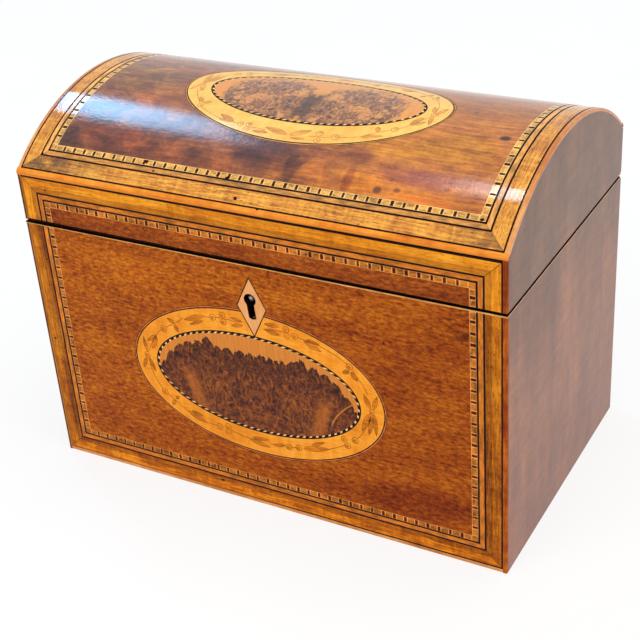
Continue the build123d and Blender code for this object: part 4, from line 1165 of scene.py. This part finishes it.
def string_low(x):
    """The lower edge of the string along the dome's foot: a little higher to the right."""
    return spring_height - rightwards(x, string_low_left, string_low_right)


def sweep(name, body, materials, replaced, runs):
    """Solids made by carrying sections along lines. A run gives a section, stations, a place function, a material."""
    verts, faces, uvs, indices = [], [], [], []
    for section, stations, place, index in runs:
        base, n = len(verts), len(section)
        verts += [place(t, a, b) for t in stations for a, b in section]
        around = [0.0]
        for p, q in zip(section, section[1:] + section[:1]):
            around.append(around[-1] + math.dist(p, q))
        for k, (t0, t1) in enumerate(zip(stations, stations[1:])):
            near = base + k * n
            for i in range(n):
                j = (i + 1) % n
                faces.append([near + i, near + j, near + n + j, near + n + i])
                uvs += [(t0, around[i]), (t0, around[i + 1]), (t1, around[i + 1]), (t1, around[i])]
        last = base + (len(stations) - 1) * n
        faces += [list(range(base, base + n))[::-1], list(range(last, last + n))]
        uvs += section[::-1] + section
        indices += [index] * (len(faces) - len(indices))
    add_piece(name, body, "boxwood_line", materials, [replaced], verts, faces, uvs, indices)


def corner_strings():
    """The strings along the corners: the worn one on the left, the foot's, and the dome's four."""
    quarter = [math.pi / 2 * k / ease_steps for k in range(ease_steps + 1)]
    eased = [(edge_ease - edge_ease * math.sin(t), edge_ease - edge_ease * math.cos(t)) for t in quarter]
    section = [(edge_string, 0.0), *eased, (0.0, veneer), (edge_string, veneer)]
    foot = [(edge_string, 0.0), (0.2, 0.0), (0.0, 0.2), (0.0, veneer), (edge_string, veneer)]
    foot_end = half_width - edge_string

    def upright(side, low, high):
        return (section, [low, high], lambda t, a, b: (side * (half_width - a), b - half_depth, t), int(side < 0))

    runs = [upright(side, 0.0, veneer_top) for side in SIDES]
    runs.append((foot, [-foot_end, foot_end], lambda t, a, b: (t, b - half_depth, a), 2))
    sweep("box_edge_strings", "box", ["string", "worn_string", "foot_string"], "box_edge_strings", runs)

    low = lid_bottom
    runs = [upright(side, low, string_low(side * half_width)) for side in SIDES]
    reach = dome_arc - edge_string
    arc = [reach * (2 * k / dome_string_cuts - 1) for k in range(dome_string_cuts + 1)]
    for side in SIDES:
        runs.append((section, arc, lambda t, a, b, side=side: dome(side * (half_width - a), t, b), 3))
    for end, material in ((-1, 2), (1, 4)):
        under, near = (dome(0, end * reach, depth)[1:] for depth in (veneer, 0.0))
        top = dome(0, end * (dome_arc - edge_ease))[1:]
        meet, side_top = ((end * half_depth, spring_height - drop) for drop in (0.0, edge_ease))
        corner = [tuple((1 - t) ** 2 * p + 2 * t * (1 - t) * q + t * t * r for p, q, r in zip(top, meet, side_top))
                  for t in (k / ease_steps for k in range(ease_steps + 1))]
        outline = [near, *corner, (end * half_depth, low), (end * carcass_y, low), under]
        runs.append((outline, [-half_width, half_width],
                     lambda t, a, b: (t, a, string_low(t) if b == low else b), material))
    sweep("lid_edge_strings", "lid", ["string", "worn_string", "dome_string", "arc_string", "back_string"],
          "lid_edge_strings", runs)


def rim_strings():
    """The pale string along the rim of the box, its upper edge painted near black as the shade in the gap under the
    lid, reaching furthest down on the left.
    """
    def level(x, step):
        return (veneer_top, body_height - rightwards(x, gap_shade_left, gap_shade_right), body_height)[step]

    runs = []
    # The upper step of each face is painted shade in the near-black finish, where the gap under the lid is dark
    for low, side_material in ((0, 2), (1, 1)):
        face = [(0.0, low), (0.0, low + 1), (veneer, low + 1), (veneer, low)]
        runs.append((face, [-half_width, half_width], lambda t, a, b: (t, a - half_depth, level(t, b)), low))
        for side in SIDES:
            runs.append((face, [-carcass_y, rim_back], lambda t, a, b, side=side: (
                side * (half_width - a), t, level(half_width, b)), side_material))
    sweep("rim_strings", "box", ["rim_string", "dirt", "side_rim"], "rim_strings", runs)


# Painted shadows and marks of age

def painted_shadow_lines():
    """Painted shadow along two edges of the lid's front: over the gap to the box, and under the dome's string."""
    # Painted shadow over the gap: a dark wedge on the lid's lower edge, widest on the left
    end = half_width - 0.5
    low = lid_bottom
    plates = Plates(FRONT, film, 0.014)
    plates.add([(-end, low), (end, low), (end, low + 0.03), (-end, low + 0.55)], [[0, 1, 2, 3]])
    plates.make("lid_grime", "lid", "dark_line", ["dirt"])
    # Painted shadow under the dome's string: a dark strip that widens to the right
    end = half_width - edge_string
    low = spring_height - band_start["outer"]
    plates = Plates(FRONT)
    plates.add([(-end, low), (end, low), (end, string_low(end)), (-end, string_low(-end))], [[0, 1, 2, 3]])
    plates.make("dome_foot_line", "lid", "dark_line", ["dirt"])


# The dark spots of each piece: place and radius
marks = (
    ("lid_front", (-83.0, 117.0, 0.55)),
    ("lid_dome", (-42.6, -49.4, 0.9), (83.1, -50.3, 0.8), (-38.3, -52.6, 0.55), (-86.9, -53.0, 0.6), (-9.0, -50.5, 0.9),
     (-3.0, -57.5, 0.9), (6.5, -60.0, 0.5)),
    ("box_front", (-91.5, 53.0, 0.6), (-20.5, 6.0, 0.8), (-88.5, 88.0, 0.5), (51.5, 83.5, 0.5)),
    ("lid_dome", (43.5, 9.0, 0.6)),
)
mark_corners = 11


def age_marks():
    """Small dark spots in the polish."""
    pieces = {}
    for name, *spots in marks:
        plates = pieces.setdefault(name, Plates(DOME if name == "lid_dome" else FRONT, film, film_lift))
        for u, v, radius in spots:
            corners = [(x * size, y * size * 0.8) for (x, y), size in
                       ((p, radius * rand.uniform(0.65, 1.1)) for p in circle(mark_corners))]
            plates.add([(u + x, v + y) for x, y in corners], [list(range(mark_corners))])
    for name, plates in pieces.items():
        plates.make(f"{name}_spots", name.split("_")[0], "dark_line", ["dark_line"])


# Fittings inside

def lathe(profile, centre, count=32):
    """A turned shape: radius and height pairs from the bottom to the top, on the axis at both ends."""
    x, y, z = centre
    rings = profile[1:-1]
    verts = [(x, y, z + profile[0][1])]
    verts += [(x + u, y + v, z + height) for radius, height in rings for u, v in circle(count, radius)]
    verts.append((x, y, z + profile[-1][1]))
    faces = []
    for k in range(count):
        starts = [(1 + r * count + k, 1 + r * count + (k + 1) % count) for r in range(len(rings))]
        faces.append([0, starts[0][1], starts[0][0]])
        faces += [[a, b, d, c] for (a, b), (c, d) in zip(starts, starts[1:])]
        faces.append([*starts[-1], len(verts) - 1])
    return verts, faces


# A knob: its bone tenon, foot, bead and waist, then a ball; and where the inner lids' middles are
knob_foot = [(0, -4.9), (1.95, -4.9), (1.95, 0.02), (4.2, 0.02), (4.25, 0.35), (3.9, 0.8), (2.9, 1.0), (2.9, 1.25),
             (2.1, 1.8), (1.75, 2.6), (1.7, 3.3), (2.1, 3.9), (2.7, 4.25), (2.7, 4.55)]
knob_ball = 4.2
knob_ball_height = 8.0
knob_steps = 15
inner_lid_middle = 0.2 + (86.8 - 0.6) / 2


def knobs():
    """The turned knobs: a foot with a bead, a waist and a round head with a nipple."""
    start = math.asin(0.62)
    angles = [start + (math.pi - start) * k / knob_steps for k in range(1, knob_steps)]
    profile = knob_foot + [(knob_ball * math.sin(t), knob_ball_height - knob_ball * math.cos(t)) for t in angles]
    top = knob_ball_height + knob_ball
    profile += [(0.55, top - 0.05), (0, top - 0.02)]
    for side, x in (("left", -inner_lid_middle), ("right", inner_lid_middle)):
        verts, faces = lathe(profile, (x, 0.0, inner_lid_top))
        uvs = [(verts[i][2], verts[i][0]) for face in faces for i in face]
        add_piece(f"{side}_knob_turned", f"{side}_inner_lid", "turned_knob", ["knob"], [f"{side}_knob"],
                  verts, faces, uvs, [0] * len(faces))


screw_head = 1.5
screw_shank = 0.9
slot_half = 0.2
slot_depth = 0.35
lock_x = 0.5
lock_y = -50.7
hinge_x = 60.0
hinge_y = half_depth - 4.4
hinge_screw_step = 7.5


def screws(body, level, direction, lock_step, turn_step, first_turn):
    """Countersunk screws with a slot across each head: two beside the lock and two in each hinge's leaf."""
    verts, faces = [], []
    places = [(lock_x + step * lock_step, lock_y) for step in SIDES]
    places += [(x + step * hinge_screw_step, hinge_y) for x in (-hinge_x, hinge_x) for step in SIDES]
    slot = [(-2, -slot_half), (2, -slot_half), (2, slot_half), (-2, slot_half)]
    flat, tris = region([circle(24, screw_head), slot],
                        lambda u, v: math.hypot(u, v) < screw_head and abs(v) > slot_half)
    edges = {(a, b) for t in tris for a, b in zip(t, t[1:] + t[:1])}
    profile = [(0, slot_depth), (screw_head - slot_depth - 0.02, slot_depth), (screw_shank, screw_head - screw_shank),
               (screw_shank * 0.8, 5.0), (0, 6.9)]
    for k, (x, y) in enumerate(places):
        turn = turn_step * k + first_turn
        base, n = len(verts), len(flat)
        spun = [(u * math.cos(turn) - v * math.sin(turn), u * math.sin(turn) + v * math.cos(turn)) for u, v in flat]
        for shrink, depth in ((1.0, -0.01), (0.8, slot_depth)):
            verts += [(x + u * shrink, y + v * shrink, level + direction * depth) for u, v in spun]
        faces += [[base + i for i in t] for t in tris]
        faces += [[base + n + i for i in reversed(t)] for t in tris]
        faces += [[base + b, base + a, base + n + a, base + n + b] for a, b in edges if (b, a) not in edges]
        cone_verts, cone_faces = lathe([(r, direction * h) for r, h in profile], (x, y, level), 16)
        faces += [[len(verts) + i for i in face] for face in cone_faces]
        verts += cone_verts
    uvs = [verts[i][:2] for face in faces for i in face]
    add_piece(f"{body}_screws_slotted", body, "brass", ["brass"], [f"{body}_screws"],
              verts, faces, uvs, [0] * len(faces))


# CAD nodes that stay, by material
dressed = {
    "side": ("left_veneer", "right_veneer", "lid_left_veneer", "lid_right_veneer"),
    "back": ("back_veneer", "lid_back_veneer"),
    "carcass": ("base_board", "front_wall", "back_wall", "lid_front_rail", "lid_back_rail", "dome_staves"),
    "carcass_side": ("left_wall", "right_wall", "left_gable", "right_gable"),
    "fitting": ("front_lining", "back_lining", "end_linings", "divider", "left_inner_lid", "right_inner_lid"),
    "foil": ("foil_linings",),
    "paper": ("lid_lining",),
    "brass": ("lock_case", "lock_cap", "link_plate", "left_hinge_box_leaf", "right_hinge_box_leaf",
              "left_hinge_lid_leaf", "right_hinge_lid_leaf"),
    "pin": ("lock_pin",),
    "steel": ("lock_bolt", "bolt_spring", "hinge_pins"),
}
brass_ease = 0.1


def dress_nodes():
    """Gives CAD nodes their materials, and brass an eased edge."""
    for material, names in dressed.items():
        for node in (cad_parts[name] for name in names):
            node.data.materials.clear()
            node.data.materials.append(M[material])
            if material == "brass":
                bevel = node.modifiers.new("ease", "BEVEL")
                bevel.width = brass_ease * MM
                bevel.segments = 2
                bevel.limit_method = "ANGLE"
                bevel.angle_limit = math.radians(50)
                bevel.harden_normals = True


# Surroundings, in metres

def floor_finish():
    """The pale floor: seen directly or in polish it is mostly plain white, so that it stays white round the shadow."""
    s = Shader("floor")
    speck = s.noise(s.place(), 0.02, detail=2.0)
    diffuse = s.add("ShaderNodeBsdfDiffuse", (s.ramp(speck, ((0.3, (0.86,) * 3), (0.7, (0.89,) * 3))),))
    glow = s.add("ShaderNodeEmission", ((1.0, 1.0, 1.0), 1.0))
    both = s.add("ShaderNodeMixShader", (s.seen() * 0.8, diffuse.outputs[0], glow.outputs[0]))
    return s.output(both.outputs[0])


def stage(name, corners, material):
    """A flat four-cornered mesh that isn't part of the object."""
    mesh = bpy.data.meshes.new(name)
    mesh.from_pydata(corners, [], [(0, 1, 2, 3)])
    mesh.materials.append(material)
    item = bpy.data.objects.new(name, mesh)
    bpy.context.scene.collection.objects.link(item)
    return item


def make_world():
    """Soft light all round, plain white where it is seen directly, in gloss or through glass."""
    s = Shader("studio", "worlds")
    light = s.add("ShaderNodeBackground", ((1.0, 0.985, 0.96), 0.5))
    white = s.add("ShaderNodeBackground", ((0.8, 0.8, 0.8), 1.0))
    both = s.add("ShaderNodeMixShader", (s.seen(), light.outputs[0], white.outputs[0]))
    bpy.context.scene.world = s.output(both.outputs[0], "World")


def area_light(name, place, target, size, power, colour):
    lamp = bpy.data.lights.new(name, "AREA")
    lamp.shape = "RECTANGLE"
    lamp.size, lamp.size_y = size
    lamp.energy = power
    lamp.color = colour
    item = bpy.data.objects.new(name, lamp)
    item.location = place
    item.rotation_euler = (Vector(target) - Vector(place)).to_track_quat("-Z", "Y").to_euler()
    bpy.context.scene.collection.objects.link(item)


floor_half = 6.0
panel_height = 1.2


def glow_panel(name, corners, colour, left, right):
    """A lit window over the box, its light changing from left to right. Its shape shows in the polish."""
    s = Shader(name)
    ends = [x for x, _ in corners]
    x = s.split(s.add("ShaderNodeTexCoord").outputs["Object"])[0]
    light = s.add("ShaderNodeEmission", (colour, x.spread(min(ends), max(ends), left, right)))
    stage(name, [(x, y, panel_height) for x, y in corners], s.output(light.outputs[0])).visible_camera = False


def make_surroundings():
    area_light("key", (-0.55, -1.35, 1.15), (0, 0, 0.06), (1.0, 0.8), 12.0, (1.0, 0.97, 0.93))
    area_light("top", (0.35, 0.1, 1.6), (0, 0, 0.1), (1.2, 0.9), 11.0, (1.0, 0.99, 0.97))
    area_light("side", (1.5, -0.2, 0.7), (0.09, 0, 0.06), (0.8, 0.8), 7.0, (1.0, 0.98, 0.95))
    glow_panel("window", ((-1.12, 0.69), (-0.98, 0.3), (-0.67, 0.24), (-0.74, 0.52)), (0.28, 0.64, 1.0), 23.0, 9.0)
    glow_panel("far_window", ((-0.33, 0.07), (-0.27, 0.07), (-0.27, 0.2), (-0.33, 0.2)), (0.72, 0.84, 1.0), 17, 17)
    glow_panel("haze", ((-0.43, 0.05), (-0.33, 0.05), (-0.33, 0.22), (-0.43, 0.22)), (0.6, 0.66, 1.0), 2.0, 4.0)
    corners = ((-1, -1), (1, -1), (1, 1), (-1, 1))
    stage("floor", [(floor_half * x, floor_half * y, 0) for x, y in corners], floor_finish())


# Camera, at the photo's view

camera_place = (229.44, -394.25, 313.99)
camera_yaw = 0.53728
camera_pitch = -0.5229
camera_roll = -0.07781
focal_pixels = 1354.78
frame_pixels = 640.0
sensor = 36.0


def make_camera():
    ahead = Vector((-math.sin(camera_yaw) * math.cos(camera_pitch), math.cos(camera_yaw) * math.cos(camera_pitch),
                    math.sin(camera_pitch)))
    level = Vector((math.cos(camera_yaw), math.sin(camera_yaw), 0.0))
    up = level.cross(ahead)
    right = level * math.cos(camera_roll) + up * math.sin(camera_roll)
    top = -level * math.sin(camera_roll) + up * math.cos(camera_roll)
    camera = bpy.data.cameras.new("camera")
    camera.sensor_width = sensor
    camera.lens = focal_pixels * sensor / frame_pixels
    camera.clip_start = 0.01
    item = bpy.data.objects.new("camera", camera)
    turned = Matrix((right, top, -ahead)).transposed().to_4x4()
    item.matrix_world = Matrix.Translation(Vector(camera_place) * MM) @ turned
    bpy.context.scene.collection.objects.link(item)
    bpy.context.scene.camera = item


make_camera()
make_world()
make_surroundings()
bpy.context.scene.view_settings.view_transform = "Standard"

dress_nodes()
fields()
add_bands("box", "box", "box", FRONT, box_rect, "top", "crossband")
add_bands("lid_front", "lid", "lid", FRONT, lid_rect, "bottom", "lid_crossband")
add_bands("dome", "lid", None, DOME, dome_rect, None, "dome_crossband", "dome_")
painted_shadow_lines()
corner_strings()
rim_strings()
add_oval("front", front_oval, FRONT, "box")
add_oval("dome", dome_oval, DOME, "lid", "dome_")
keyhole_lozenge()
age_marks()
knobs()
screws("box", body_height, -1, 19.5, 0.7, 0.3)
screws("lid", lid_bottom, 1, 16.5, 0.9, 0.6)
